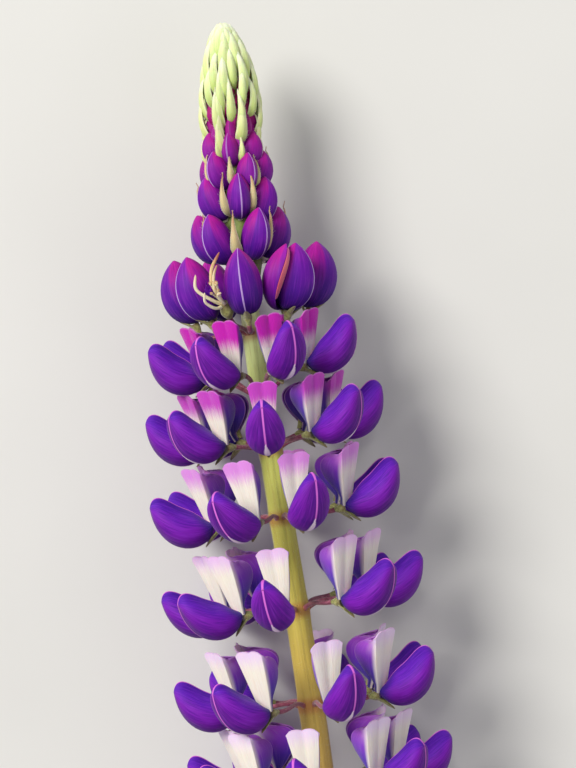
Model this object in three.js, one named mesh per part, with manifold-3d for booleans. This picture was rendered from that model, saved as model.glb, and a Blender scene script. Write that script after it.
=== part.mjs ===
// A cut lupin flower spike, lying on its side. Millimetres, +Z up. The stem runs along +Y from
// its cut end to the growing tip, and the table is z = 0. Whorls of open flowers stand round the
// stem on short stalks, closed flowers and buds follow above them, and green bracts pack the tip.
import * as THREE from "three";
import { mergeVertices } from "three/addons/utils/BufferGeometryUtils.js";
import Module from "manifold-3d";

const wasm = await Module();
wasm.setup();

// ---- Driving dimensions -------------------------------------------------------------------

const SPIKE_LENGTH = 251.3; // cut end to growing tip
const AXIS_HEIGHT = 24.6; // stem axis above the table
const TABLE_PRESS = 0.35; // how far a flower that lies on the table is flattened

// The stem bows to one side: x = BOW_MIDDLE + BOW_REACH * cos, over BOW_SPAN of its length.
const BOW_MIDDLE = -4.1;
const BOW_REACH = 13.3;
const BOW_START = 4;
const BOW_SPAN = 252;

const STEM_RADII = [
  [0, 3.4],
  [60, 3.3],
  [120, 3.0],
  [160, 2.7],
  [178, 2.4],
  [185, 2.1],
];
const STEM_SIDES = 9;
const STEM_RINGS = 15;

const GAP = 0.3; // between pieces that touch on the real plant
const PETAL_THICK = 0.7;

// Whorls from the cut end up. along: where the stalks leave the stem; reach: stem axis to the
// calyx; rise: how far the stalk climbs; pitch: tilt of the flower's own axis towards the tip;
// banner: its height; lobe: how far its sides fold back; size: of the wings; azimuths: of the
// stalks round the stem, 0 is straight up from the table.
const WHORLS = [
  {
    along: 50.5, reach: 18.5, rise: 1.8, pitch: 8, banner: 14.8, lobe: 7.2, size: 1.1,
    azimuths: [13, -38, -90, 64, 116, 167, -141],
  },
  {
    along: 71.7, reach: 18.3, rise: 1.8, pitch: 8, banner: 14.8, lobe: 7.2, size: 1.1,
    azimuths: [-8, -52, -101, 42, 86, 138, -148],
  },
  {
    along: 90.5, reach: 17.6, rise: 2.0, pitch: 9, banner: 14.8, lobe: 7.2, size: 1.1,
    azimuths: [15, -35, -85, 70, 120, 168, -140],
  },
  {
    along: 112.8, reach: 17.6, rise: 2.4, pitch: 3, banner: 14.6, lobe: 7.2, size: 1.1,
    azimuths: [-10, -50, -96, 42, 88, 140, -150],
  },
  {
    along: 134.4, reach: 16.8, rise: 1.6, pitch: 9, banner: 14.4, lobe: 6.8, size: 1.1,
    azimuths: [13, -22, -75, 72, 120, 168, -128],
  },
  {
    along: 150.6, reach: 15.6, rise: 3.6, pitch: 12, banner: 13.2, lobe: 6.2, size: 1.08,
    azimuths: [0, -43, -98, 43, 95, 146, -150],
  },
  {
    along: 163.8, reach: 13.4, rise: 6.2, pitch: 16, banner: 12.4, lobe: 4.8, size: 1.05,
    azimuths: [17, -24, -78, 66, 114, 164, -126],
  },
  {
    along: 177.9, reach: 12.6, rise: 4.6, pitch: 76, banner: 0, lobe: 0, size: 1,
    azimuths: [-2, -43, -105, 44, 90, 140, -155],
  },
];
const TURN_ASIDE = 22; // degrees by which a flower turns away from straight up or down
// How much flowers of a whorl differ from each other: mm of reach, and degrees.
const REACH_SPREAD = 1.2;
const PITCH_SPREAD = 5;
const TURN_SPREAD = 5;
const ROLL_SPREAD = 8;
const UNDERSIDE = 110; // azimuth past which a flower can lie on the table

// An open flower, in its own frame: o outwards along its axis, u up, s sideways.
const WING_ROOT = [-0.35, -0.3];
const WING_TIP = [12.8, 3.6];
const WING_TOP_PULL = [
  [4.6, 3.0],
  [12.6, 10.2],
];
const WING_BELLY_PULL = [
  [0.2, -7.0],
  [11.2, -7.2],
];
const WING_HALF_WIDTH = 4.1;
const WING_COLUMNS = 5;
const WING_ROWS = 3;
const BANNER_LEAN = 17; // degrees, outwards from the stem's own direction
const BANNER_FOOT = 0.7; // how far it starts below the flower's axis
const BANNER_HALF_FOOT = 0.95;
const BANNER_HALF_TOP = 0.28; // share of its height
const BANNER_GROOVE = 0.45;
const BANNER_LEAST_FOLD = 0.9; // how far its sides fold back at its foot
const BANNER_ROWS = 4;

// A closed flower and a bud: o along the length, u towards the stem, s sideways.
const CLOSED_LENGTH = 15.2;
const CLOSED_HALF_WIDTH = 4.3;
const HALF_OPEN = { whorl: 7, flower: 3, widen: 1.5, yaw: -18 }; // its sides begin to spread
const BUD_COLUMNS = 4;
const BUD_ROWS = 2;

const CALYX_BACK = 0.9; // its mouth lies this far behind an open flower's origin
const CALYX_BACK_CLOSED = 0.3; // and this far behind a closed one's
const CALYX_DROP = 0.9;
const CALYX_LENGTH = 2.9;
const CALYX_RADIUS = 1.55;
const STALK_RADIUS = 0.62;
const STALK_SIDES = 3;

// The head: rows of buds with bracts, from the first row above the whorls.
const BUD_ROWS_OF_HEAD = [
  { along: 195.2, length: 12.2, reach: 4.9, lean: 23, turn: 22 },
  { along: 204.2, length: 10.6, reach: 4.3, lean: 19, turn: 2 },
  { along: 211.2, length: 9.0, reach: 4.0, lean: 17, turn: 22 },
  { along: 217.4, length: 7.6, reach: 3.7, lean: 14, turn: -5 },
];
const TIP_ROWS = [
  { along: 222.6, length: 10.6, reach: 4.5, lean: 7, turn: 18, bud: 5.4 },
  { along: 227.6, length: 10.6, reach: 4.3, lean: 5, turn: -6, bud: 0 },
  { along: 232.4, length: 10.4, reach: 4.1, lean: 0, turn: 20, bud: 0 },
  { along: 236.8, length: 10.6, reach: 3.7, lean: -6, turn: -5, bud: 0 },
  { along: 241.0, length: 9.7, reach: 3.1, lean: -11, turn: 20, bud: 0 },
];
const TIP_NOD = 1.4; // how far the growing tip leans aside
const TIP_NOD_START = 225;
const BUDS_PER_ROW = 7;
const BUD_HALF_WIDTH = 0.26; // share of its length
const BUD_TURN_SPREAD = 8;
const BUD_ALONG_SPREAD = 1.6;
const BUD_PITCH_SPREAD = 4;
// A bract stands this many degrees beside its bud, and is this wide from its middle line.
const HEAD_BRACT = { beside: 24, halfWidth: 0.95 };
const TIP_BRACT = { beside: 26, halfWidth: 1.35 };
const BRACT_THICK = 1.0;
const BRACT_BEND = 0.1; // share of its length
const HEAD_CLEARANCE = 0.5; // between the coloured buds and the green tip
const CORE_START = 185.3;
const CORE_END = 246;
const CORE_SPLIT = 220.6;
const CORE_RADII = [
  [185, 2.1],
  [195, 5.0],
  [205, 4.5],
  [220, 4.7],
  [234, 4.6],
  [241, 3.8],
  [246, 2.4],
];
const CORE_RINGS = 4;
const CORE_SIDES = 7;

// ---- Helpers --------------------------------------------------------------------------------

const radians = (degrees) => (degrees * Math.PI) / 180;
const clamp01 = (value) => Math.min(1, Math.max(0, value));

// A number from 0 to 1 that is always the same for the same seed.
function draw(seed) {
  const wave = Math.sin(seed * 12.9898) * 43758.5453;
  return wave - Math.floor(wave);
}

// Straight-line interpolation in a list of [position, value] pairs.
function along(pairs, position) {
  for (let i = 1; i < pairs.length; i++) {
    const [x0, y0] = pairs[i - 1];
    const [x1, y1] = pairs[i];
    if (position <= x1) return y0 + ((y1 - y0) * Math.max(0, position - x0)) / (x1 - x0);
  }
  return pairs[pairs.length - 1][1];
}

// A closed geometry from points and triangles, turned to face outwards.
function closed(points, triangles) {
  const geometry = new THREE.BufferGeometry().setFromPoints(points);
  const six = triangles.reduce(
    (sum, [a, b, c]) => sum + points[a].dot(new THREE.Vector3().crossVectors(points[b], points[c])),
    0,
  );
  geometry.setIndex(triangles.flatMap(([a, b, c]) => (six < 0 ? [a, c, b] : [a, b, c])));
  return geometry;
}

function solidOf(geometry) {
  const bare = new THREE.BufferGeometry();
  bare.setAttribute("position", geometry.getAttribute("position"));
  bare.setIndex(geometry.index);
  const merged = mergeVertices(bare, 1e-4);
  return new wasm.Manifold(
    new wasm.Mesh({
      numProp: 3,
      vertProperties: new Float32Array(merged.attributes.position.array),
      triVerts: new Uint32Array(merged.index.array),
    }),
  );
}

// The largest body of a solid, without loose scraps.
function largest(solid) {
  return solid.decompose().reduce((best, body) => (body.volume() > best.volume() ? body : best));
}

function geometryOf(solid) {
  const mesh = solid.getMesh();
  const points = [];
  for (let i = 0; i < mesh.numVert; i++) {
    const at = i * mesh.numProp;
    points.push(mesh.vertProperties[at], mesh.vertProperties[at + 1], mesh.vertProperties[at + 2]);
  }
  const geometry = new THREE.BufferGeometry();
  geometry.setAttribute("position", new THREE.Float32BufferAttribute(points, 3));
  geometry.setIndex([...mesh.triVerts]);
  return geometry;
}

// A tube through rings of equal count, closed by a fan on its first and last ring. The quads from
// mirroredFrom on are split the other way, so that both faces of a thin blade are split alike. A
// blade's two ends are closed by strips that run from face to face.
function tube(rings, mirroredFrom = Infinity) {
  const sides = rings[0].length;
  const points = rings.flat();
  const triangles = [];
  for (let r = 1; r < rings.length; r++) {
    for (let k = 0; k < sides; k++) {
      const next = (k + 1) % sides;
      const below = (r - 1) * sides;
      const above = r * sides;
      if (k < mirroredFrom) {
        triangles.push([below + k, below + next, above + next]);
        triangles.push([below + k, above + next, above + k]);
      } else {
        triangles.push([below + k, below + next, above + k]);
        triangles.push([below + next, above + next, above + k]);
      }
    }
  }
  const last = (rings.length - 1) * sides;
  if (mirroredFrom < sides) {
    for (let k = 0; k < mirroredFrom - 1; k++) {
      const [a, b, c, d] = [k, k + 1, sides - 2 - k, sides - 1 - k];
      triangles.push([c, b, a], [d, c, a]);
      triangles.push([last + a, last + b, last + c], [last + a, last + c, last + d]);
    }
  } else {
    for (let k = 1; k < sides - 1; k++) {
      triangles.push([0, k + 1, k], [last, last + k, last + k + 1]);
    }
  }
  return closed(points, triangles);
}

// A ring of points round a centre, in the plane of two unit vectors.
function ring(centre, first, second, radius, sides) {
  return Array.from({ length: sides }, (_, k) => {
    const angle = (2 * Math.PI * (k + 0.5)) / sides;
    return centre
      .clone()
      .addScaledVector(first, radius * Math.cos(angle))
      .addScaledVector(second, radius * Math.sin(angle));
  });
}

// ---- The stem's line ------------------------------------------------------------------------

function stemPoint(position) {
  const bow = Math.cos((Math.PI * (position - BOW_START)) / BOW_SPAN);
  const nod = clamp01((position - TIP_NOD_START) / (SPIKE_LENGTH - TIP_NOD_START)) ** 2;
  const x = BOW_MIDDLE + BOW_REACH * bow - TIP_NOD * nod;
  return new THREE.Vector3(x, position - SPIKE_LENGTH / 2, AXIS_HEIGHT);
}

// The directions round the stem at a position: along it, and outwards at an azimuth.
function stemFrame(position, azimuth) {
  const up = stemPoint(position + 0.5).sub(stemPoint(position - 0.5)).normalize();
  const right = new THREE.Vector3(up.y, -up.x, 0);
  const out = right
    .multiplyScalar(Math.sin(radians(azimuth)))
    .add(new THREE.Vector3(0, 0, Math.cos(radians(azimuth))));
  return { up, out, side: new THREE.Vector3().crossVectors(out, up) };
}

// A matrix for a piece whose own axes are o, u, s, tilted by pitch towards the tip, turned by yaw
// round the stem's direction and rolled round its own axis.
function pieceFrame(origin, frame, pitch, yaw = 0, roll = 0) {
  const out = frame.out.clone().applyAxisAngle(frame.up, radians(yaw));
  const side = frame.side.clone().applyAxisAngle(frame.up, radians(yaw));
  const up = frame.up.clone().applyAxisAngle(side, radians(pitch));
  out.applyAxisAngle(side, radians(pitch));
  up.applyAxisAngle(out, radians(roll));
  side.applyAxisAngle(out, radians(roll));
  return new THREE.Matrix4().makeBasis(out, up, side).setPosition(origin);
}

// ---- Petals ---------------------------------------------------------------------------------

// A pouch between two curves of the plane s = 0 that share both ends: full(across) gives how full
// it is from the first curve to the second, and it thins out towards both ends.
function pouch(first, second, halfWidth, full, columns, rows) {
  const points = [first.getPoint(0), first.getPoint(1)].map((p) => new THREE.Vector3(p.x, p.y, 0));
  const at = (c, r, side) => {
    if (c === 0) return 0;
    if (c === columns) return 1;
    const edge = r === 0 || r === rows;
    const perColumn = 2 + 2 * (rows - 1);
    const base = 2 + (c - 1) * perColumn;
    if (edge) return base + (r === 0 ? 0 : 1);
    return base + 2 + (r - 1) * 2 + (side > 0 ? 0 : 1);
  };
  for (let c = 1; c < columns; c++) {
    const u = c / columns;
    const a = first.getPoint(u);
    const b = second.getPoint(u);
    const thin = Math.sin(Math.PI * u) ** 0.6;
    points.push(new THREE.Vector3(a.x, a.y, 0), new THREE.Vector3(b.x, b.y, 0));
    for (let r = 1; r < rows; r++) {
      const v = r / rows;
      const half = halfWidth * thin * full(v);
      for (const side of [1, -1]) {
        points.push(new THREE.Vector3(a.x + (b.x - a.x) * v, a.y + (b.y - a.y) * v, side * half));
      }
    }
  }
  const triangles = [];
  const quad = (a, b, c, d, flip) => {
    for (const three of [
      [a, b, c],
      [a, c, d],
    ]) {
      if (new Set(three).size === 3) triangles.push(flip ? three.reverse() : three);
    }
  };
  for (const side of [1, -1]) {
    for (let c = 0; c < columns; c++) {
      for (let r = 0; r < rows; r++) {
        quad(at(c, r, side), at(c + 1, r, side), at(c + 1, r + 1, side), at(c, r + 1, side), side < 0);
      }
    }
  }
  return closed(points, triangles);
}

const bezier = (start, pulls, end) =>
  new THREE.CubicBezierCurve(
    new THREE.Vector2(...start),
    new THREE.Vector2(...pulls[0]),
    new THREE.Vector2(...pulls[1]),
    new THREE.Vector2(...end),
  );

// The two wings, joined into a pouch: sharp along the top, full below.
function wings(size) {
  const top = bezier(WING_ROOT, WING_TOP_PULL, WING_TIP);
  const belly = bezier(WING_ROOT, WING_BELLY_PULL, WING_TIP);
  const full = (v) => 2.32 * v ** 0.75 * (1 - v) ** 0.5;
  return pouch(top, belly, WING_HALF_WIDTH, full, WING_COLUMNS, WING_ROWS)
    .scale(size, size, size);
}

// The banner: a flat front that widens upwards, with a groove down its middle, and a lobe on
// each side that folds back sharply and leans in towards the other.
function banner(height, lobe, leaning) {
  const lean = radians(leaning);
  const forward = new THREE.Vector3(Math.cos(lean), -Math.sin(lean), 0);
  const upward = new THREE.Vector3(Math.sin(lean), Math.cos(lean), 0);
  const place = (up, out, side) =>
    new THREE.Vector3(0, 0, side).addScaledVector(upward, up).addScaledVector(forward, out);
  const outer = [];
  const inner = [];
  for (let r = 0; r <= BANNER_ROWS; r++) {
    const share = r / BANNER_ROWS;
    const up = (height + BANNER_FOOT) * share - BANNER_FOOT;
    const half = BANNER_HALF_FOOT + (BANNER_HALF_TOP * height - BANNER_HALF_FOOT) * share ** 0.85;
    const spread = Math.sin(Math.PI * clamp01((share - 0.14) / 0.9)) ** 0.9;
    const back = BANNER_LEAST_FOLD + (lobe - 0.4) * spread;
    const closing = Math.asin(Math.min(0.45, (half - PETAL_THICK - 0.06) / back));
    const drop = 0.05 * height * share;
    const edge = half - back * Math.sin(closing);
    const edgeOut = -back * Math.cos(closing);
    const groove = BANNER_GROOVE * share;
    outer.push([
      place(up - drop, edgeOut, -edge),
      place(up, 0, -half),
      place(up - 0.3 * share, -groove, 0),
      place(up, 0, half),
      place(up - drop, edgeOut, edge),
    ]);
    const inwards = PETAL_THICK * Math.cos(closing);
    const onwards = PETAL_THICK * Math.sin(closing);
    inner.push([
      place(up - drop, edgeOut + onwards, -(edge - inwards)),
      place(up, -PETAL_THICK, -(half - PETAL_THICK)),
      place(up - 0.3 * share, -groove - PETAL_THICK, 0),
      place(up, -PETAL_THICK, half - PETAL_THICK),
      place(up - drop, edgeOut + onwards, edge - inwards),
    ]);
  }
  // Each row becomes one ring: out along the outer face and back along the inner one.
  const rings = outer.map((row, r) => [...row, ...inner[r].reverse()]);
  return tube(rings, outer[0].length);
}

// A closed flower or a bud, a flat-sided pouch whose sharp ridge faces outwards.
function bud(length, halfWidth, columns, rows) {
  const inner = bezier(
    [0, 0],
    [
      [0.1 * length, 0.24 * length],
      [0.75 * length, 0.3 * length],
    ],
    [length, -0.05 * length],
  );
  const outer = bezier(
    [0, 0],
    [
      [-0.02 * length, -0.5 * length],
      [0.74 * length, -0.6 * length],
    ],
    [length, -0.05 * length],
  );
  const full = (v) => (v * (1 - v)) ** 0.6 * 2.3;
  return pouch(inner, outer, halfWidth, full, columns, rows);
}

// A bract: a slender three-sided blade, widest near its foot, that curves in at its tip.
function bract(length, halfWidth, thick) {
  const stations = [
    [0.0, 0.5],
    [0.32, 1.0],
    [0.72, 0.72],
    [1.0, 0.08],
  ];
  const rings = stations.map(([share, wide]) => {
    const bend = -BRACT_BEND * length * Math.sin(Math.PI * share);
    const deep = thick * (0.4 + 0.6 * wide);
    return [
      new THREE.Vector3(share * length, bend - deep, 0),
      new THREE.Vector3(share * length, bend + 0.3 * deep, halfWidth * wide),
      new THREE.Vector3(share * length, bend + 0.3 * deep, -halfWidth * wide),
    ];
  });
  return tube(rings);
}

// ---- Placing the flowers --------------------------------------------------------------------

const isHalfOpen = (w, n) => w === HALF_OPEN.whorl && n === HALF_OPEN.flower;

// How far below the stem's axis a pouch reaches that starts at reach and points at heading.
function depthOf(azimuth, heading, reach, half, width) {
  const down = -Math.cos(radians(heading));
  const across = Math.sin(radians(heading));
  return -reach * Math.cos(radians(azimuth)) + half * down + Math.hypot(half * down, width * across);
}

// Where a flower stands: its calyx mouth's place and its own matrix.
function flowerPlace(w, n) {
  const whorl = WHORLS[w];
  const azimuth = whorl.azimuths[n];
  const seed = 31 * w + n;
  const frame = stemFrame(whorl.along, azimuth);
  const pitch = whorl.pitch + PITCH_SPREAD * (draw(seed + 0.5) - 0.5);
  const aside = TURN_ASIDE * Math.sin(radians(2 * azimuth)) + TURN_SPREAD * (draw(seed + 0.7) - 0.5);
  const yaw = isHalfOpen(w, n) ? HALF_OPEN.yaw : aside;
  const roll = ROLL_SPREAD * (draw(seed + 0.9) - 0.5);
  let reach = whorl.reach + REACH_SPREAD * (draw(seed + 0.3) - 0.5);
  // A flower on the underside is pushed in until it only touches the table.
  if (Math.abs(azimuth) > UNDERSIDE && whorl.banner > 0) {
    const tilt = radians(pitch);
    const half = (whorl.size * (WING_TIP[0] * Math.cos(tilt) - WING_TIP[1] * Math.sin(tilt))) / 2;
    const depth = depthOf(azimuth, azimuth + yaw, reach, half, WING_HALF_WIDTH * whorl.size);
    const excess = depth - AXIS_HEIGHT - TABLE_PRESS;
    reach -= Math.max(0, excess / -Math.cos(radians(azimuth)));
  }
  const origin = stemPoint(whorl.along)
    .addScaledVector(frame.out, reach)
    .addScaledVector(frame.up, whorl.rise);
  const matrix = pieceFrame(origin, frame, pitch, yaw, roll);
  const back = whorl.banner > 0 ? CALYX_BACK : CALYX_BACK_CLOSED;
  return { position: whorl.along, frame, pitch, matrix, back };
}

// Everything below the table's surface, to flatten the flowers that lie on it.
const tableSolid = solidOf(new THREE.BoxGeometry(400, 600, 40).translate(0, 0, -20));

function flowerSolid(w, n) {
  const whorl = WHORLS[w];
  const { matrix, pitch } = flowerPlace(w, n);
  if (whorl.banner === 0) {
    const halfWidth = CLOSED_HALF_WIDTH * (isHalfOpen(w, n) ? HALF_OPEN.widen : 1);
    const shut = bud(CLOSED_LENGTH, halfWidth, WING_COLUMNS, WING_ROWS);
    return solidOf(shut.applyMatrix4(matrix));
  }
  const pair = solidOf(wings(whorl.size).applyMatrix4(matrix));
  const flag = solidOf(banner(whorl.banner, whorl.lobe, BANNER_LEAN + pitch).applyMatrix4(matrix));
  return largest(pair.add(flag).subtract(tableSolid));
}

// ---- Stem, stalks and calyces ---------------------------------------------------------------

function stemGeometry() {
  const end = STEM_RADII[STEM_RADII.length - 1][0];
  const rings = Array.from({ length: STEM_RINGS + 1 }, (_, i) => {
    const position = (end * i) / STEM_RINGS;
    const { out, side } = stemFrame(position, 0);
    return ring(stemPoint(position), out, side, along(STEM_RADII, position), STEM_SIDES);
  });
  return tube(rings);
}

// One stalk with its calyx, from inside the stem to the flower's base.
function stalkGeometry({ position, frame, matrix, back }) {
  const outward = new THREE.Vector3().setFromMatrixColumn(matrix, 0);
  const upward = new THREE.Vector3().setFromMatrixColumn(matrix, 1);
  const side = new THREE.Vector3().setFromMatrixColumn(matrix, 2);
  const mouth = new THREE.Vector3(-back, -CALYX_DROP, 0).applyMatrix4(matrix);
  const neck = mouth.clone().addScaledVector(outward, -CALYX_LENGTH);
  const root = stemPoint(position).addScaledVector(frame.out, 0.5 * along(STEM_RADII, position));
  const reach = neck.distanceTo(root);
  const leave = root
    .clone()
    .addScaledVector(frame.out, 0.35 * reach)
    .addScaledVector(frame.up, 0.2 * reach);
  const arrive = neck.clone().addScaledVector(outward, -0.3 * reach);
  const line = new THREE.CubicBezierCurve3(root, leave, arrive, neck);
  const rings = [0, 0.5, 1].map((share) => {
    const tangent = line.getTangent(share);
    const across = new THREE.Vector3().crossVectors(side, tangent).normalize();
    return ring(line.getPoint(share), across, side, STALK_RADIUS, STALK_SIDES);
  });
  const down = upward.clone().multiplyScalar(-0.35);
  const belly = mouth.clone().addScaledVector(outward, -0.45 * CALYX_LENGTH).add(down);
  rings.push(ring(belly, upward, side, CALYX_RADIUS, STALK_SIDES));
  rings.push(ring(mouth.clone().add(down), upward, side, 0.8 * CALYX_RADIUS, STALK_SIDES));
  return tube(rings);
}

// ---- The head -------------------------------------------------------------------------------

function corePiece(start, end, grow) {
  const rings = [];
  for (let i = 0; i <= CORE_RINGS; i++) {
    const position = start + ((end - start) * i) / CORE_RINGS;
    const { out, side } = stemFrame(position, 0);
    const radius = along(CORE_RADII, position) + grow;
    rings.push(ring(stemPoint(position), out, side, radius, CORE_SIDES));
  }
  return tube(rings);
}

// The buds of a row, each with its bract beside it; grow thickens them to cut a clearance.
function headRow(row, k, budLength, { beside, halfWidth }, grow) {
  const pieces = [];
  for (let n = 0; n < BUDS_PER_ROW; n++) {
    const seed = 400 + 17 * k + n;
    const azimuth = row.turn + (360 / BUDS_PER_ROW) * n + BUD_TURN_SPREAD * (draw(seed) - 0.5);
    const position = row.along + BUD_ALONG_SPREAD * (draw(seed + 0.2) - 0.5);
    const pitch = 90 - row.lean + BUD_PITCH_SPREAD * (draw(seed + 0.4) - 0.5);
    const stand = (turn, reach) => {
      const frame = stemFrame(position, turn);
      return pieceFrame(stemPoint(position).addScaledVector(frame.out, reach), frame, pitch);
    };
    if (budLength > 0) {
      const body = bud(budLength + 2 * grow, BUD_HALF_WIDTH * budLength + grow, BUD_COLUMNS, BUD_ROWS);
      pieces.push(solidOf(body.translate(-grow, 0, 0).applyMatrix4(stand(azimuth, row.reach))));
    }
    const blade = bract(row.length + 2 * grow, halfWidth + grow, BRACT_THICK + grow);
    blade.translate(-grow, 0.2 * grow, 0);
    pieces.push(solidOf(blade.applyMatrix4(stand(azimuth + beside, row.reach))));
  }
  return pieces;
}

function union(solids) {
  return solids.reduce((sum, solid) => sum.add(solid));
}

function tipSolid(grow) {
  const rows = TIP_ROWS.flatMap((row, k) => headRow(row, 10 + k, row.bud, TIP_BRACT, grow));
  const core = solidOf(corePiece(CORE_SPLIT + GAP - grow, CORE_END, grow));
  return largest(union([core, ...rows]));
}

function clusterSolid() {
  const rows = BUD_ROWS_OF_HEAD.flatMap((row, k) => headRow(row, k, row.length, HEAD_BRACT, 0));
  const core = solidOf(corePiece(CORE_START, CORE_SPLIT, 0));
  return largest(union([core, ...rows]).subtract(tipSolid(HEAD_CLEARANCE)));
}

// ---- The flower without petals --------------------------------------------------------------

// Its calyx stands between two closed flowers of the top whorl, and its stamens and pistil curl
// out past them. Each strand runs through points [aside, up, outwards] from the calyx mouth.
const BARE = { whorl: 7, azimuth: -22, reach: 13.6, rise: 7.6, pitch: 58 };
const STRANDS = [
  { through: [[0.2, 0, 0.2], [1.7, 1.4, 3.2], [4.2, 4.2, 5.6], [3.6, 7.6, 6.4]], thick: 0.5 },
  { through: [[0, 0, 0.2], [0.8, 4.0, 3.6], [0.2, 8.2, 4.6], [-2.6, 12.0, 5.2]], thick: 0.55 },
  { through: [[0, 0.1, 0], [0.2, 3.4, 4.2], [-0.6, 6.8, 5.6], [-2.2, 9.0, 6.8]], thick: 0.45 },
  { through: [[-0.2, 0, 0.2], [-0.9, 0.6, 3.2], [-1.0, 2.2, 5.6], [-2.4, 2.6, 7.0]], thick: 0.45 },
  { through: [[0.1, -0.2, 0.3], [1.0, -0.6, 3.4], [2.2, 1.0, 6.0], [1.6, 3.2, 7.2]], thick: 0.42 },
];
const STRAND_RINGS = 5;

function barePlace() {
  const position = WHORLS[BARE.whorl].along;
  const frame = stemFrame(position, BARE.azimuth);
  const origin = stemPoint(position)
    .addScaledVector(frame.out, BARE.reach)
    .addScaledVector(frame.up, BARE.rise);
  return { position, frame, matrix: pieceFrame(origin, frame, BARE.pitch), back: CALYX_BACK };
}

function bareSolid() {
  const { frame, matrix } = barePlace();
  const mouth = new THREE.Vector3(0, -CALYX_DROP, 0).applyMatrix4(matrix);
  const axis = new THREE.Vector3().setFromMatrixColumn(matrix, 0);
  const across = new THREE.Vector3().setFromMatrixColumn(matrix, 1);
  const cup = tube([
    ring(mouth.clone().addScaledVector(axis, -0.5), across, frame.side, 0.7, 4),
    ring(mouth.clone().addScaledVector(axis, 0.9), across, frame.side, 1.0, 4),
  ]);
  const strands = STRANDS.map(({ through, thick }) => {
    const points = through.map(([aside, up, out]) =>
      mouth
        .clone()
        .addScaledVector(frame.side, aside)
        .addScaledVector(frame.up, up)
        .addScaledVector(frame.out, out),
    );
    const line = new THREE.CatmullRomCurve3(points);
    const rings = Array.from({ length: STRAND_RINGS }, (_, i) => {
      const share = i / (STRAND_RINGS - 1);
      const tangent = line.getTangent(share);
      const first = new THREE.Vector3().crossVectors(tangent, frame.side).normalize();
      const second = new THREE.Vector3().crossVectors(tangent, first);
      return ring(line.getPoint(share), first, second, thick * (1 - 0.3 * share), 4);
    });
    return solidOf(tube(rings));
  });
  return largest(union([solidOf(cup), ...strands]));
}

// ---- The assembled spike --------------------------------------------------------------------

const finish = {
  stem: new THREE.MeshStandardMaterial({ color: 0x9aa63a, roughness: 0.55 }),
  petal: new THREE.MeshStandardMaterial({ color: 0x4b1a98, roughness: 0.6 }),
  bud: new THREE.MeshStandardMaterial({ color: 0x7a1f9c, roughness: 0.6 }),
  tip: new THREE.MeshStandardMaterial({ color: 0xcfe08a, roughness: 0.6 }),
  stamen: new THREE.MeshStandardMaterial({ color: 0xeadfae, roughness: 0.6 }),
};

const spike = new THREE.Group();

function addPiece(name, solid, material) {
  const mesh = new THREE.Mesh(geometryOf(solid), material);
  mesh.name = name;
  spike.add(mesh);
}

const stalks = [];
WHORLS.forEach((whorl, w) => {
  for (let n = 0; n < whorl.azimuths.length; n++) {
    stalks.push(solidOf(stalkGeometry(flowerPlace(w, n))));
    addPiece(`flower_${w + 1}_${n + 1}`, flowerSolid(w, n), finish.petal);
  }
});
stalks.push(solidOf(stalkGeometry(barePlace())));
addPiece("stem", union([solidOf(stemGeometry()), ...stalks]), finish.stem);
addPiece("bud_cluster", clusterSolid(), finish.bud);
addPiece("bud_tip", tipSolid(0), finish.tip);

addPiece("bare_stamens", bareSolid(), finish.stamen);

export default spike;
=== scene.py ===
import math
from collections import namedtuple

import bpy
import numpy as np
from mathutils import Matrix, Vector


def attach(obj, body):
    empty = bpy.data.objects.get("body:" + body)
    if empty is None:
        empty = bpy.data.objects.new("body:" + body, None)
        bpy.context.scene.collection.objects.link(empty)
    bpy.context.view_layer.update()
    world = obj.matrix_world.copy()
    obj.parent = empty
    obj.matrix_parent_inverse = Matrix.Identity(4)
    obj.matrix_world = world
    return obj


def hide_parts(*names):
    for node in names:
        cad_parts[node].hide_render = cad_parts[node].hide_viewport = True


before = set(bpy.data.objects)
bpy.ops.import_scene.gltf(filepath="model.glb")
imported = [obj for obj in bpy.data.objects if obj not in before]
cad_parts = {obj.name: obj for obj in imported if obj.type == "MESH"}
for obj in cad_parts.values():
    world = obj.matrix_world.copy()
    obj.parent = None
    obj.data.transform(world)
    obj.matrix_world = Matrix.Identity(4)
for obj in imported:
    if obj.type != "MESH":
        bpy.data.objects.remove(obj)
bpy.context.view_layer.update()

# ---- The table, the light and the view ------------------------------------------------------
# The spike lies on a plain pale table and is seen from straight above. One wide soft lamp stands
# at the upper left, a weaker one stands across from it, and a pale room lights the rest.

VIEW_CENTRE = (-0.0033, 0.04025, 0.0246)
VIEW_DISTANCE = 0.8
VIEW_HEIGHT = 0.1805  # how much of the stem's level fits in the frame
SENSOR_HEIGHT = 36
LAMP_AIM = (0, 0.03, 0.02)
HALF_TABLE = 3.0

lens = bpy.data.cameras.new("view")
lens.sensor_fit = "VERTICAL"
lens.sensor_height = SENSOR_HEIGHT
lens.lens = SENSOR_HEIGHT * VIEW_DISTANCE / VIEW_HEIGHT
lens.clip_start = 0.01
view = bpy.data.objects.new("view", lens)
view.location = (VIEW_CENTRE[0], VIEW_CENTRE[1], VIEW_CENTRE[2] + VIEW_DISTANCE)
bpy.context.scene.collection.objects.link(view)
bpy.context.scene.camera = view
bpy.context.scene.view_settings.view_transform = "Standard"
bpy.context.scene.view_settings.look = "None"


def lamp(name, place, size, watts, tint):
    """A round soft lamp, aimed at the spike."""
    light = bpy.data.lights.new(name, "AREA")
    light.shape = "DISK"
    light.size = size
    light.energy = watts
    light.color = tint
    stand = bpy.data.objects.new(name, light)
    stand.location = place
    aim = Vector(LAMP_AIM) - Vector(place)
    stand.rotation_euler = aim.to_track_quat("-Z", "Y").to_euler()
    bpy.context.scene.collection.objects.link(stand)


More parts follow.
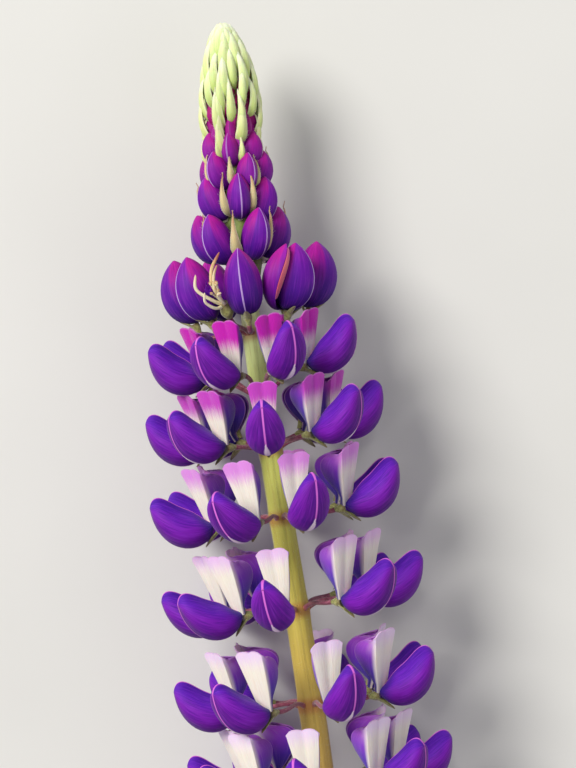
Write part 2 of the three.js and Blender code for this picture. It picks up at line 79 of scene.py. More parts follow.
lamp("lamp_main", (-1.50, 1.00, 1.95), 1.3, 72.0, (1.0, 0.98, 0.95))
lamp("lamp_fill", (1.50, -0.50, 1.20), 1.80, 4.0, (0.97, 0.98, 1.0))

room = bpy.data.worlds.new("room")
room.use_nodes = True
room.node_tree.nodes["Background"].inputs["Color"].default_value = (0.96, 0.97, 1.0, 1)
room.node_tree.nodes["Background"].inputs["Strength"].default_value = 0.44
bpy.context.scene.world = room


def paint(code):
    """A colour from its six hex digits, as Blender's linear values."""
    shares = [int(code[i : i + 2], 16) / 255 for i in (0, 2, 4)]
    return tuple(((c + 0.055) / 1.055) ** 2.4 if c > 0.04 else c / 12.92 for c in shares) + (1,)


def new_finish(name, looks):
    """A material; the nodes made from here on are added to it."""
    global node_tree, shader
    material = bpy.data.materials.new(name)
    material.use_nodes = True
    node_tree = material.node_tree
    shader = node_tree.nodes["Principled BSDF"]
    for key, value in looks.items():
        shader.inputs[key].default_value = value
    return material


def step(kind, feeds, **settings):
    """One node of the newest material, with its settings and what feeds its sockets."""
    node = node_tree.nodes.new("ShaderNode" + kind)
    for key, value in settings.items():
        setattr(node, key, value)
    for socket, feed in feeds.items():
        if isinstance(feed, bpy.types.NodeSocket):
            node_tree.links.new(feed, node.inputs[socket])
        else:
            node.inputs[socket].default_value = feed
    return node


def mottle(feed, scale, detail=3.0):
    """Soft irregular spots, from 0 to 1."""
    return step("TexNoise", {"Vector": feed, "Scale": scale, "Detail": detail}).outputs[0]


def shades(feed, stops):
    """A run of colours along a value, from (place, hex code) pairs."""
    node = step("ValToRGB", {"Fac": feed})
    elements = node.color_ramp.elements
    while len(elements) < len(stops):
        elements.new(0.5)
    for element, (place, code) in zip(elements, stops):
        element.position = place
        element.color = paint(code)
    return node.outputs["Color"]


def connect(feed, socket):
    """A value or colour, led into a socket of the newest material's shader."""
    node_tree.links.new(feed, shader.inputs[socket])


table_finish = new_finish("table", {"Roughness": 0.75})
table_place = step("NewGeometry", {}).outputs["Position"]
table_shade = shades(mottle(table_place, 9.0), [(0.3, "d3d2cd"), (0.7, "dad9d4")])
connect(table_shade, "Base Color")

table_corners = [(-1, -1), (1, -1), (1, 1), (-1, 1)]
table_mesh = bpy.data.meshes.new("table")
table_mesh.from_pydata(
    [(x * HALF_TABLE, y * HALF_TABLE, 0) for x, y in table_corners], [], [(0, 1, 2, 3)]
)
table_mesh.materials.append(table_finish)
table = bpy.data.objects.new("table", table_mesh)
bpy.context.scene.collection.objects.link(table)

# ---- The stem -------------------------------------------------------------------------------
# One juicy round stem, bowed a little to one side and cut off square at its lower end. It has
# low ribs along it, swells where the stalks leave it, and turns from yellow-green to ochre.

# Millimetres, from the cut end to the growing tip. The stem's line: x = middle + reach * cos.
SPIKE_LENGTH = 251.3
AXIS_HEIGHT = 24.6
BOW_MIDDLE = -4.1
BOW_REACH = 13.3
BOW_START = 4
BOW_SPAN = 252
TIP_NOD = 1.4
TIP_NOD_START = 225
STEM_RADII = [(0, 3.4), (60, 3.3), (120, 3.0), (160, 2.7), (178, 2.4), (185, 2.1)]
STEM_RINGS = 230
STEM_SIDES = 36
STEM_RIBS = 8
RIB_HEIGHT = 0.07
RIB_TWIST = 0.004
NODE_SWELL = 0.22
NODE_SPREAD = 2.2
CUT_DISH = 0.5
PITH_SHARE = 0.78
TABLE_CLEARANCE = 0.03
SHARP_EDGE = 48  # degrees between two faces, from which their edge is left sharp
STEM_HAIRS = 3600
STEM_HAIR_LENGTH = 0.4
HAIR_RADIUS = 0.022
ASLANT = (0.31, 0.17, 0.93)  # a direction that no hair or stalk follows

# Whorls of flowers, from the cut end up. place: where their stalks leave the stem; reach and rise:
# of the stalks; pitch: of the flowers towards the tip; banner: its height, none while closed; lobe:
# how far its sides fold back; size: of the wings; azimuths: of the stalks, 0 is straight up.
Whorl = namedtuple("Whorl", "place reach rise pitch banner lobe size azimuths")
WHORLS = [
    Whorl(50.5, 18.5, 1.8, 8, 14.8, 7.2, 1.1, [13, -38, -90, 64, 116, 167, -141]),
    Whorl(71.7, 18.3, 1.8, 8, 14.8, 7.2, 1.1, [-8, -52, -101, 42, 86, 138, -148]),
    Whorl(90.5, 17.6, 2.0, 9, 14.8, 7.2, 1.1, [15, -35, -85, 70, 120, 168, -140]),
    Whorl(112.8, 17.6, 2.4, 3, 14.6, 7.2, 1.1, [-10, -50, -96, 42, 88, 140, -150]),
    Whorl(134.4, 16.8, 1.6, 9, 14.4, 6.8, 1.1, [13, -22, -75, 72, 120, 168, -128]),
    Whorl(150.6, 15.6, 3.6, 12, 13.2, 6.2, 1.08, [0, -43, -98, 43, 95, 146, -150]),
    Whorl(163.8, 13.4, 6.2, 16, 12.4, 4.8, 1.05, [17, -24, -78, 66, 114, 164, -126]),
    Whorl(177.9, 12.6, 4.6, 76, 0, 0, 1, [-2, -43, -105, 44, 90, 140, -155]),
]
TOP_WHORL = len(WHORLS) - 1


def draw(seed):
    """A number from 0 to 1 that is always the same for the same seed."""
    wave = math.sin(seed * 12.9898) * 43758.5453
    return wave - math.floor(wave)


def clamp01(value):
    """The value, kept from 0 to 1."""
    return min(1.0, max(0.0, value))


def along_pairs(pairs, place):
    """A value at a place of the stem, from (place, value) pairs."""
    return float(np.interp(place, [p for p, _ in pairs], [v for _, v in pairs]))


def stem_point(place):
    """A point of the stem's bowed middle line."""
    bow = math.cos(math.pi * (place - BOW_START) / BOW_SPAN)
    nod = clamp01((place - TIP_NOD_START) / (SPIKE_LENGTH - TIP_NOD_START)) ** 2
    x = BOW_MIDDLE + BOW_REACH * bow - TIP_NOD * nod
    return np.array([x, place - SPIKE_LENGTH / 2, AXIS_HEIGHT])


def unit(vector):
    """The vector at length 1."""
    return vector / np.linalg.norm(vector)


def stem_frame(place, azimuth):
    """Directions at a place of the stem: along it, outwards at an azimuth, and sideways."""
    up = unit(stem_point(place + 0.5) - stem_point(place - 0.5))
    turn = math.radians(azimuth)
    right = np.array([up[1], -up[0], 0.0])
    out = right * math.sin(turn) + np.array([0, 0, math.cos(turn)])
    return up, out, np.cross(out, up)


def quad_strip(first, second, closed):
    """Faces between two rows of points, given as their numbers."""
    count = len(first) if closed else len(first) - 1
    return [
        (first[k], first[(k + 1) % len(first)], second[(k + 1) % len(first)], second[k])
        for k in range(count)
    ]


def make_piece(name, patches, finish, nodes):
    """One object from patches of (points in mm, faces, facts), riding on the spike."""
    points = []
    faces = []
    facts = {key: [] for key in patches[0][2]}
    start = 0
    for patch_points, patch_faces, patch_facts in patches:
        points.append(patch_points)
        faces.extend([tuple(i + start for i in face) for face in patch_faces])
        for key in facts:
            facts[key].append(np.broadcast_to(patch_facts[key], len(patch_points)))
        start += len(patch_points)
    whole = np.concatenate(points)
    # Petals lie on the table and not in it.
    whole[:, 2] = np.maximum(whole[:, 2], TABLE_CLEARANCE)
    mesh = bpy.data.meshes.new(name)
    mesh.from_pydata(whole * 0.001, [], faces)
    for key, values in facts.items():
        layer = mesh.attributes.new(key, "FLOAT", "POINT")
        layer.data.foreach_set("value", np.concatenate(values).astype(np.float32))
    mesh.shade_smooth()
    mesh.set_sharp_from_angle(angle=math.radians(SHARP_EDGE))
    mesh.materials.append(finish)
    piece = bpy.data.objects.new(name, mesh)
    bpy.context.scene.collection.objects.link(piece)
    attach(piece, "root")
    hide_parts(*nodes)
    return piece


def fact(name):
    """A value that the mesh holds at each of its points."""
    return step("Attribute", {}, attribute_name=name).outputs["Fac"]


def soft_step(feed, low, high):
    """0 up to low, 1 from high on, and a smooth change between; low may be the greater."""
    feeds = {"Value": feed, "From Min": low, "From Max": high}
    return step("MapRange", feeds, interpolation_type="SMOOTHSTEP").outputs[0]


def mixed(share, first, second):
    """Two colours laid over each other."""
    # A Mix node for colours takes them at its sockets 6 and 7 and gives the result at 2.
    feeds = {0: share, 6: first, 7: second}
    return step("Mix", feeds, data_type="RGBA").outputs[2]


def times(first, second):
    """The product of two values."""
    return step("Math", {0: first, 1: second}, operation="MULTIPLY").outputs[0]


def tinted(under, feed, low, high, code, strength=1.0):
    """A colour, tinted with another one where a value nears high."""
    share = soft_step(feed, low, high)
    if strength < 1.0:
        share = times(share, strength)
    return mixed(share, under, paint(code))


def own_map(across, along):
    """Texture coordinates that follow the piece: its two facts, each stretched by a number."""
    feeds = {
        "X": times(fact(across[0]), across[1]),
        "Y": times(fact(along[0]), along[1]),
        "Z": fact("tone"),
    }
    return step("CombineXYZ", feeds).outputs[0]


def raise_grain(feed, depth):
    """Fine relief on a surface, its depth in metres."""
    node = step("Bump", {"Height": feed, "Distance": depth, "Strength": 1.0})
    connect(node.outputs[0], "Normal")


def swell_at(place):
    """How much the stem swells at a place, from the whorls near it."""
    return sum(math.exp(-(((place - whorl.place) / NODE_SPREAD) ** 2)) for whorl in WHORLS)


def stem_patch():
    """The stem's ribbed skin from the cut end up into the head, and its cut face."""
    end = STEM_RADII[-1][0]
    points = []
    places = []
    turns = []
    swells = []
    for r in range(STEM_RINGS + 1):
        place = end * r / STEM_RINGS
        _, out, side = stem_frame(place, 0)
        swell = swell_at(place)
        radius = along_pairs(STEM_RADII, place) + NODE_SWELL * swell
        for k in range(STEM_SIDES):
            angle = 2 * math.pi * k / STEM_SIDES
            twist = STEM_RIBS * (angle + RIB_TWIST * place)
            ribbed = radius - RIB_HEIGHT + RIB_HEIGHT * math.cos(twist)
            direction = out * math.cos(angle) + side * math.sin(angle)
            points.append(stem_point(place) + direction * ribbed)
            places.append(place)
            turns.append(k / STEM_SIDES)
            swells.append(swell)
    faces = []
    for r in range(STEM_RINGS):
        below = [r * STEM_SIDES + k for k in range(STEM_SIDES)]
        faces += quad_strip(below, [i + STEM_SIDES for i in below], True)
    # The cut end: a dished ring of pith inside the skin, told apart by its places below zero.
    # The upper end is inside the head.
    first_inner = len(points)
    up, _, _ = stem_frame(0, 0)
    for k in range(STEM_SIDES):
        inwards = stem_point(0) + PITH_SHARE * (points[k] - stem_point(0))
        points.append(inwards + up * CUT_DISH * 0.5)
        places.append(-10)
        turns.append(k / STEM_SIDES)
        swells.append(0)
    points.append(stem_point(0) + up * CUT_DISH)
    places.append(-20)
    turns.append(0)
    swells.append(0)
    inner = [first_inner + k for k in range(STEM_SIDES)]
    faces += quad_strip(inner, list(range(STEM_SIDES)), True)
    centre = first_inner + STEM_SIDES
    faces += [(inner[(k + 1) % STEM_SIDES], inner[k], centre) for k in range(STEM_SIDES)]
    faces.append(tuple(STEM_RINGS * STEM_SIDES + k for k in range(STEM_SIDES)))
    facts = {
        "place": np.array(places) / SPIKE_LENGTH,
        "turn": np.array(turns),
        "swell": np.array(swells),
        "tone": 0.0,
    }
    return np.array(points), faces, facts


stem_finish = new_finish(
    "stem_skin",
    {"Roughness": 0.5, "Sheen Weight": 0.25, "Sheen Roughness": 0.4, "Specular IOR Level": 0.35},
)
stem_run = shades(
    fact("place"),
    [
        (0.0, "ac9050"),
        (0.30, "c09e50"),
        (0.40, "c4aa4c"),
        (0.50, "c2ba52"),
        (0.60, "c4c964"),
        (0.67, "cfdc86"),
        (0.72, "dbe6a4"),
    ],
)
stem_streaks = mottle(own_map(("turn", 26.0), ("place", 22.0)), 1.6)
stem_striped = tinted(stem_run, stem_streaks, 0.48, 0.74, "a4823c", 0.36)
stem_blush = tinted(stem_striped, fact("swell"), 0.2, 1.0, "a5502f", 0.6)
stem_colour = tinted(stem_blush, fact("place"), -0.01, -0.035, "dfe0a8")
connect(stem_colour, "Base Color")
raise_grain(stem_streaks, 0.00012)

stem_shape = stem_patch()
make_piece("stem_skin", [stem_shape], stem_finish, ["stem"])


def hair_patch(feet, ways):
    """Fine pointed hairs from their feet, each with three sides."""
    first = np.cross(ways, ASLANT)
    first /= np.linalg.norm(first, axis=1)[:, None]
    second = np.cross(ways, first)
    second /= np.linalg.norm(second, axis=1)[:, None]
    corners = [
        feet + HAIR_RADIUS * (first * math.cos(turn) + second * math.sin(turn))
        for turn in np.radians([0, 120, 240])
    ]
    points = np.stack([*corners, feet + ways], axis=1).reshape(-1, 3)
    faces = []
    for k in range(0, len(points), 4):
        faces += [(k, k + 1, k + 3), (k + 1, k + 2, k + 3), (k + 2, k, k + 3), (k + 2, k + 1, k)]
    return points, faces, {"along": np.tile([0.0, 0.0, 0.0, 1.0], len(feet))}


def tube_hairs(points, sides, count, length, seed):
    """Hairs all over a tube, from the rings of its points; they lean towards its far end."""
    rings = points[: len(points) // sides * sides].reshape(-1, sides, 3)
    feet = []
    ways = []
    for k in range(count):
        r = int(draw(seed + 0.37 * k) * (len(rings) - 2))
        c = int(draw(seed + 0.71 * k) * sides)
        share = draw(seed + 0.53 * k)
        foot = rings[r, c] * (1 - share) + rings[r + 1, (c + 1) % sides] * share
        outwards = unit(rings[r, c] - rings[r].mean(axis=0))
        onwards = unit(rings[r + 1].mean(axis=0) - rings[r].mean(axis=0))
        loose = np.array([draw(seed + 0.9 * k + i) - 0.5 for i in range(3)])
        way = unit(0.8 * outwards + 0.7 * onwards + 0.7 * loose)
        feet.append(foot)
        ways.append(length * (0.6 + 0.6 * share) * way)
    return hair_patch(np.array(feet), np.array(ways))


hair_finish = new_finish("hair", {"Roughness": 0.5, "Sheen Weight": 0.4})
hair_colour = shades(fact("along"), [(0.0, "c9cf9c"), (1.0, "f4f5e6")])
connect(hair_colour, "Base Color")
stem_skin_points = stem_shape[0][: (STEM_RINGS + 1) * STEM_SIDES]
stem_down = tube_hairs(stem_skin_points, STEM_SIDES, STEM_HAIRS, STEM_HAIR_LENGTH, 40)
make_piece("stem_down", [stem_down], hair_finish, ["stem"])

# ---- The stalks -----------------------------------------------------------------------------
# Each flower stands on a thin downy stalk that grows out of the stem, climbs a little and turns
# outwards. The stalks are wine red with paler blotches, and rusty where they leave the stem.

REACH_SPREAD = 1.2
PITCH_SPREAD = 5
TURN_SPREAD = 5
ROLL_SPREAD = 8
TURN_ASIDE = 22  # degrees by which a flower turns away from straight up or down
UNDERSIDE = 110  # azimuth past which a flower can lie on the table
TABLE_PRESS = 0.35
WING_ROOT = (-0.35, -0.3)
WING_TIP = (12.8, 3.6)
WING_HALF_WIDTH = 4.1
HALF_OPEN = (TOP_WHORL, 3)  # its whorl and its number there, both from 0
HALF_OPEN_YAW = -18
CALYX_BACK = 0.9  # the cup's mouth lies this far behind an open flower's origin
CALYX_BACK_CLOSED = 0.3
CALYX_DROP = 0.9
CALYX_LENGTH = 2.9
STALK_RADIUS = 0.5
STALK_STEPS = 15
STALK_SIDES = 10
# The whorl and number of each flower, both from 0.
FLOWERS = [(w, n) for w, whorl in enumerate(WHORLS) for n in range(len(whorl.azimuths))]
BARE_FLOWER = {"azimuth": -22, "reach": 13.6, "rise": 7.6, "pitch": 58}


def turned(vector, axis, degrees):
    """A vector, turned about an axis."""
    angle = math.radians(degrees)
    return (
        vector * math.cos(angle)
        + np.cross(axis, vector) * math.sin(angle)
        + axis * np.dot(axis, vector) * (1 - math.cos(angle))
    )


def seat(origin, frame_here, pitch, yaw=0.0, roll=0.0):
    """A piece's own axes: outwards, up and sideways, tilted, turned and rolled, and its origin."""
    up, out, side = frame_here
    out = turned(out, up, yaw)
    side = turned(side, up, yaw)
    up = turned(up, side, pitch)
    out = turned(out, side, pitch)
    up = turned(up, out, roll)
    side = turned(side, out, roll)
    return origin, np.array([out, up, side])


def placed(seat_here, points):
    """Points (outwards, up, sideways) of a piece, at their place on the spike."""
    origin, axes = seat_here
    return origin + np.asarray(points) @ axes


def flower_seed(w, n):
    """The seed of a flower's own small differences."""
    return 31 * w + n


def flower_seat(w, n):
    """A flower's own seat, the stem's directions there, and the flower's tilt."""
    whorl = WHORLS[w]
    azimuth = whorl.azimuths[n]
    seed = flower_seed(w, n)
    here = stem_frame(whorl.place, azimuth)
    pitch = whorl.pitch + PITCH_SPREAD * (draw(seed + 0.5) - 0.5)
    yaw = TURN_ASIDE * math.sin(math.radians(2 * azimuth)) + TURN_SPREAD * (draw(seed + 0.7) - 0.5)
    if (w, n) == HALF_OPEN:
        yaw = HALF_OPEN_YAW
    roll = ROLL_SPREAD * (draw(seed + 0.9) - 0.5)
    reach = whorl.reach + REACH_SPREAD * (draw(seed + 0.3) - 0.5)
    # A flower on the underside is pushed in until it only touches the table.
    if abs(azimuth) > UNDERSIDE and w < TOP_WHORL:
        tilt = math.radians(pitch)
        half = whorl.size * (WING_TIP[0] * math.cos(tilt) - WING_TIP[1] * math.sin(tilt)) / 2
        down = -math.cos(math.radians(azimuth + yaw))
        across = math.sin(math.radians(azimuth + yaw))
        low = -reach * math.cos(math.radians(azimuth)) + half * down
        low += math.hypot(half * down, WING_HALF_WIDTH * whorl.size * across)
        excess = low - AXIS_HEIGHT - TABLE_PRESS
        reach -= max(0.0, excess / -math.cos(math.radians(azimuth)))
    origin = stem_point(whorl.place) + here[1] * reach + here[0] * whorl.rise
    return seat(origin, here, pitch, yaw, roll), here, pitch


def bare_seat():
    """The seat of the flower without petals, and the stem's directions there."""
    place = WHORLS[TOP_WHORL].place
    here = stem_frame(place, BARE_FLOWER["azimuth"])
    origin = stem_point(place) + here[1] * BARE_FLOWER["reach"] + here[0] * BARE_FLOWER["rise"]
    return seat(origin, here, BARE_FLOWER["pitch"]), here


def bezier(points, shares):
    """A cubic curve through its first and last point, at the given shares."""
    a, b, c, d = [np.asarray(p, float) for p in points]
    t = np.asarray(shares)[:, None]
    return a * (1 - t) ** 3 + 3 * b * t * (1 - t) ** 2 + 3 * c * t**2 * (1 - t) + d * t**3


def tube(line, radii, sides, tone):
    """A closed round tube along a line of points."""
    line = np.asarray(line, float)
    ways = np.gradient(line, axis=0)
    ways /= np.linalg.norm(ways, axis=1)[:, None]
    first = unit(np.cross(ways[0], ASLANT))
    points = []
    for centre, way, radius in zip(line, ways, radii):
        first = unit(first - way * np.dot(first, way))
        second = np.cross(way, first)
        angles = 2 * np.pi * np.arange(sides) / sides
        ring = first[None] * np.cos(angles)[:, None] + second[None] * np.sin(angles)[:, None]
        points.append(centre + ring * radius)
    count = len(line)
    faces = []
    for r in range(count - 1):
        below = [r * sides + k for k in range(sides)]
        faces += quad_strip(below, [i + sides for i in below], True)
    faces.append(tuple(reversed(range(sides))))
    faces.append(tuple((count - 1) * sides + k for k in range(sides)))
    facts = {
        "along": np.repeat(np.linspace(0, 1, count), sides),
        "around": np.tile(np.arange(sides) / sides, count),
        "tone": tone,
    }
    return np.concatenate(points), faces, facts


def calyx_back(w):
    """How far the cups of a whorl stand behind their flowers' origins."""
    return CALYX_BACK if w < TOP_WHORL else CALYX_BACK_CLOSED


def calyx_mouth(seat_here, back):
    """The middle of the mouth of a flower's cup."""
    return placed(seat_here, [(-back, -CALYX_DROP, 0)])[0]


def stalk_patch(place, seat_here, here, back, tone):
    """A stalk from inside the stem to the back of a flower's cup."""
    outward = seat_here[1][0]
    neck = calyx_mouth(seat_here, back) - outward * CALYX_LENGTH
    root = stem_point(place) + here[1] * 0.8 * along_pairs(STEM_RADII, place)
    reach = np.linalg.norm(neck - root)
    leave = root + here[1] * 0.35 * reach + here[0] * 0.2 * reach
    arrive = neck - outward * 0.3 * reach
    shares = np.linspace(0, 1, STALK_STEPS)
    line = bezier([root, leave, arrive, neck + outward * 0.4], shares)
    radii = STALK_RADIUS * (1 + 0.7 * np.exp(-shares * 14) + 0.25 * shares**4)
    return tube(line, radii, STALK_SIDES, tone)


stalk_finish = new_finish("stalk_skin", {"Roughness": 0.55, "Sheen Weight": 0.35})
stalk_spots = mottle(own_map(("around", 6.0), ("along", 9.0)), 1.4)
stalk_colour = shades(stalk_spots, [(0.3, "6e2a3c"), (0.5, "8d3d55"), (0.72, "b06a78")])
stalk_both = tinted(stalk_colour, fact("along"), 0.16, 0.0, "a8603f")
connect(stalk_both, "Base Color")
raise_grain(stalk_spots, 0.00008)

stalks = []
for w, n in FLOWERS:
    flower_here, stem_here, _ = flower_seat(w, n)
    tone = draw(w + 9 * n)
    stalks.append(stalk_patch(WHORLS[w].place, flower_here, stem_here, calyx_back(w), tone))
bare_here, bare_stem_here = bare_seat()
stalks.append(stalk_patch(WHORLS[TOP_WHORL].place, bare_here, bare_stem_here, CALYX_BACK, 0.4))
make_piece("stalks", stalks, stalk_finish, ["stem"])

# ---- The calyces ----------------------------------------------------------------------------
# A small green-brown cup holds each flower's foot. It is split in two downy lips: a short one
# behind the banner and a longer, boat-shaped one that runs down under the wings.

CUP_RADIUS = 1.3
CUP_RADIUS_CLOSED = 1.1
UPPER_LIP = 2.6
LIP_HALF_WIDTH = 1.15
UPPER_LIP_HALF_WIDTH = 0.9
CLOSED_LIP = 0.72  # how wide a closed flower's lower lip is, as a share of an open one's
LIP_THICK = 0.22
LIP_ROWS = 12
LIP_COLUMNS = 7
CUP_NECK = 0.42
CUP_STEPS = 9
CUP_SIDES = 14
BARE_CUP_RADII = [0.45, 0.7, 1.0, 1.25, 1.42, 1.5, 1.5, 1.45, 1.4, 1.38, 1.4, 1.3]
BARE_CUP_SIDES = 16
CUP_HAIRS = 26
CUP_HAIR_LENGTH = 0.5
STALK_HAIRS = 22
STALK_HAIR_LENGTH = 0.35


def shell(grid, thick, facing, facts):
    """A thin closed petal from a grid of points; facing tells which side is its outer one."""
    rows, columns, _ = grid.shape
    normal = np.cross(np.gradient(grid, axis=0), np.gradient(grid, axis=1))
    length = np.linalg.norm(normal, axis=2, keepdims=True)
    normal = facing * normal / np.maximum(length, 1e-9)
    points = np.concatenate([grid.reshape(-1, 3), (grid - normal * thick).reshape(-1, 3)])
    number = np.arange(rows * columns).reshape(rows, columns)
    back = number + rows * columns
    faces = []
    for r in range(rows - 1):
        for c in range(columns - 1):
            front = (number[r, c], number[r + 1, c], number[r + 1, c + 1], number[r, c + 1])
            behind = (back[r, c], back[r, c + 1], back[r + 1, c + 1], back[r + 1, c])
            faces += [front, behind] if facing > 0 else [front[::-1], behind[::-1]]
    border = (
        [(0, c) for c in range(columns - 1)]
        + [(r, columns - 1) for r in range(rows - 1)]
        + [(rows - 1, c) for c in range(columns - 1, 0, -1)]
        + [(r, 0) for r in range(rows - 1, 0, -1)]
    )
    for i, here in enumerate(border):
        there = border[(i + 1) % len(border)]
        rim = (number[here], number[there], back[there], back[here])
        faces.append(rim if facing > 0 else rim[::-1])
    doubled = {
        key: np.concatenate([np.broadcast_to(value, (rows, columns)).ravel()] * 2)
        for key, value in facts.items()
    }
    return points, [tuple(int(i) for i in face) for face in faces], doubled


def lip_patch(seat_here, line, half_width, hollow, tone):
    """A pointed blade along a line in the flower's middle plane, hollow towards the flower."""
    along = np.linspace(0, 1, LIP_ROWS)
    across = np.linspace(-1, 1, LIP_COLUMNS)
    middle = bezier([(o, u, 0) for o, u in line], along)
    way = np.gradient(middle, axis=0)
    way /= np.linalg.norm(way, axis=1)[:, None]
    outside = np.stack([way[:, 1], -way[:, 0], 0 * way[:, 0]], axis=1)
    width = half_width * np.sqrt(1 - along**1.7) * (0.75 + 0.25 * np.sin(np.pi * along)) + 0.03
    bend = hollow * (across[None] ** 2) * width[:, None]
    grid = middle[:, None] - outside[:, None] * bend[:, :, None]
    grid[:, :, 2] += across[None] * width[:, None]
    facts = {"along": along[:, None], "around": across[None] * 0.5, "tone": tone}
    return shell(placed(seat_here, grid), LIP_THICK, -1, facts)


def calyx_patches(seat_here, back, tone, open_flower):
    """A cup and its two lips."""
    base = (-back - CALYX_LENGTH, -CALYX_DROP)
    shares = np.linspace(0, 1, CUP_STEPS)
    cup_radius = CUP_RADIUS if open_flower else CUP_RADIUS_CLOSED
    widen = CUP_NECK + (cup_radius - CUP_NECK) * np.sin(0.5 * np.pi * shares) ** 1.3
    axis = bezier(
        [
            (base[0], base[1], 0),
            (base[0] + 1.0, base[1], 0),
            (-back - 1.0, base[1] - 0.3, 0),
            (-back, base[1] - 0.35, 0),
        ],
        shares,
    )
    cup = tube(placed(seat_here, axis), widen * (1 - 0.12 * shares**6), CUP_SIDES, tone)
    under = -CALYX_DROP - 0.9 * cup_radius
    if open_flower:
        lower = [(-back - 0.9, under + 0.1), (-back + 0.2, under - 0.9), (-0.1, -3.9), (1.5, -5.4)]
        upper = [(-back - 0.9, 0.5), (-back - 0.5, 0.9), (-0.95, 1.5), (-0.75, UPPER_LIP)]
    else:
        lower = [(-back - 0.9, under), (-back - 0.2, under - 0.5), (-0.1, -2.9), (1.3, -4.3)]
        upper = [(-back - 0.9, 0.3), (-back - 0.3, 0.8), (0.6, 1.2), (UPPER_LIP, 1.6)]
    lower_half_width = LIP_HALF_WIDTH * (1 if open_flower else CLOSED_LIP)
    return [
        cup,
        lip_patch(seat_here, lower, lower_half_width, 0.55, tone),
        lip_patch(seat_here, upper, UPPER_LIP_HALF_WIDTH, -0.5, tone),
    ]


calyx_finish = new_finish("calyx_skin", {"Roughness": 0.6, "Sheen Weight": 0.5})
calyx_spots = mottle(own_map(("around", 9.0), ("along", 5.0)), 1.2)
calyx_colour = shades(
    calyx_spots, [(0.28, "6a6430"), (0.48, "8f9048"), (0.66, "aeae68"), (0.8, "96604c")]
)
calyx_both = tinted(calyx_colour, fact("along"), 0.55, 1.0, "6b4a35", 0.6)
connect(calyx_both, "Base Color")
raise_grain(calyx_spots, 0.0001)

calyces = []
for w, n in FLOWERS:
    flower_here = flower_seat(w, n)[0]
    calyces += calyx_patches(flower_here, calyx_back(w), draw(3 * w + n), w < TOP_WHORL)
# The cup of the flower without petals is longer and fuller than the others.
bare_cup = placed(
    bare_here,
    [
        (-CALYX_BACK - 3.0 + 4.6 * share, -CALYX_DROP - 0.25 * math.sin(2.2 * share), 0)
        for share in np.linspace(0, 1, len(BARE_CUP_RADII))
    ],
)
calyces.append(tube(bare_cup, BARE_CUP_RADII, BARE_CUP_SIDES, 0.9))
make_piece("calyces", calyces, calyx_finish, ["stem"])
# Every third patch of the calyces is a cup, and the last one is the bare flower's.
calyx_down = [
    tube_hairs(cup[0], CUP_SIDES, CUP_HAIRS, CUP_HAIR_LENGTH, 60 + k)
    for k, cup in enumerate(calyces[:-1:3])
]
stalk_down = [
    tube_hairs(stalk[0], STALK_SIDES, STALK_HAIRS, STALK_HAIR_LENGTH, 90 + k)
    for k, stalk in enumerate(stalks)
]
make_piece("calyx_down", calyx_down + stalk_down, hair_finish, ["stem"])

# ---- The banners ----------------------------------------------------------------------------
# The banner is one petal, creased down its middle and folded back along both sides. Its front is
# a flat cream strip, magenta at the top while young and lilac later. The lobes behind are violet.

BANNER_LEAN = 17  # degrees, outwards from the stem's own direction
BANNER_FOOT = 0.7  # how far it starts below the flower's axis
BANNER_HALF_FOOT = 1.3
BANNER_HALF_TOP = 0.25  # share of its height
BANNER_GROOVE = 0.45
BANNER_FOLD = 0.76
BANNER_LEAST_FOLD = 0.9  # how far its sides fold back at its foot
BANNER_TURN = 34  # degrees by which the banners of the side flowers turn up
BANNER_THICK = 0.3
BANNER_ROWS = 28
LOBE_BULGE = 0.45
FRONT_COLUMNS = 10
LOBE_COLUMNS = 9
OPEN_FLOWERS = [(w, n) for w, n in FLOWERS if w < TOP_WHORL]


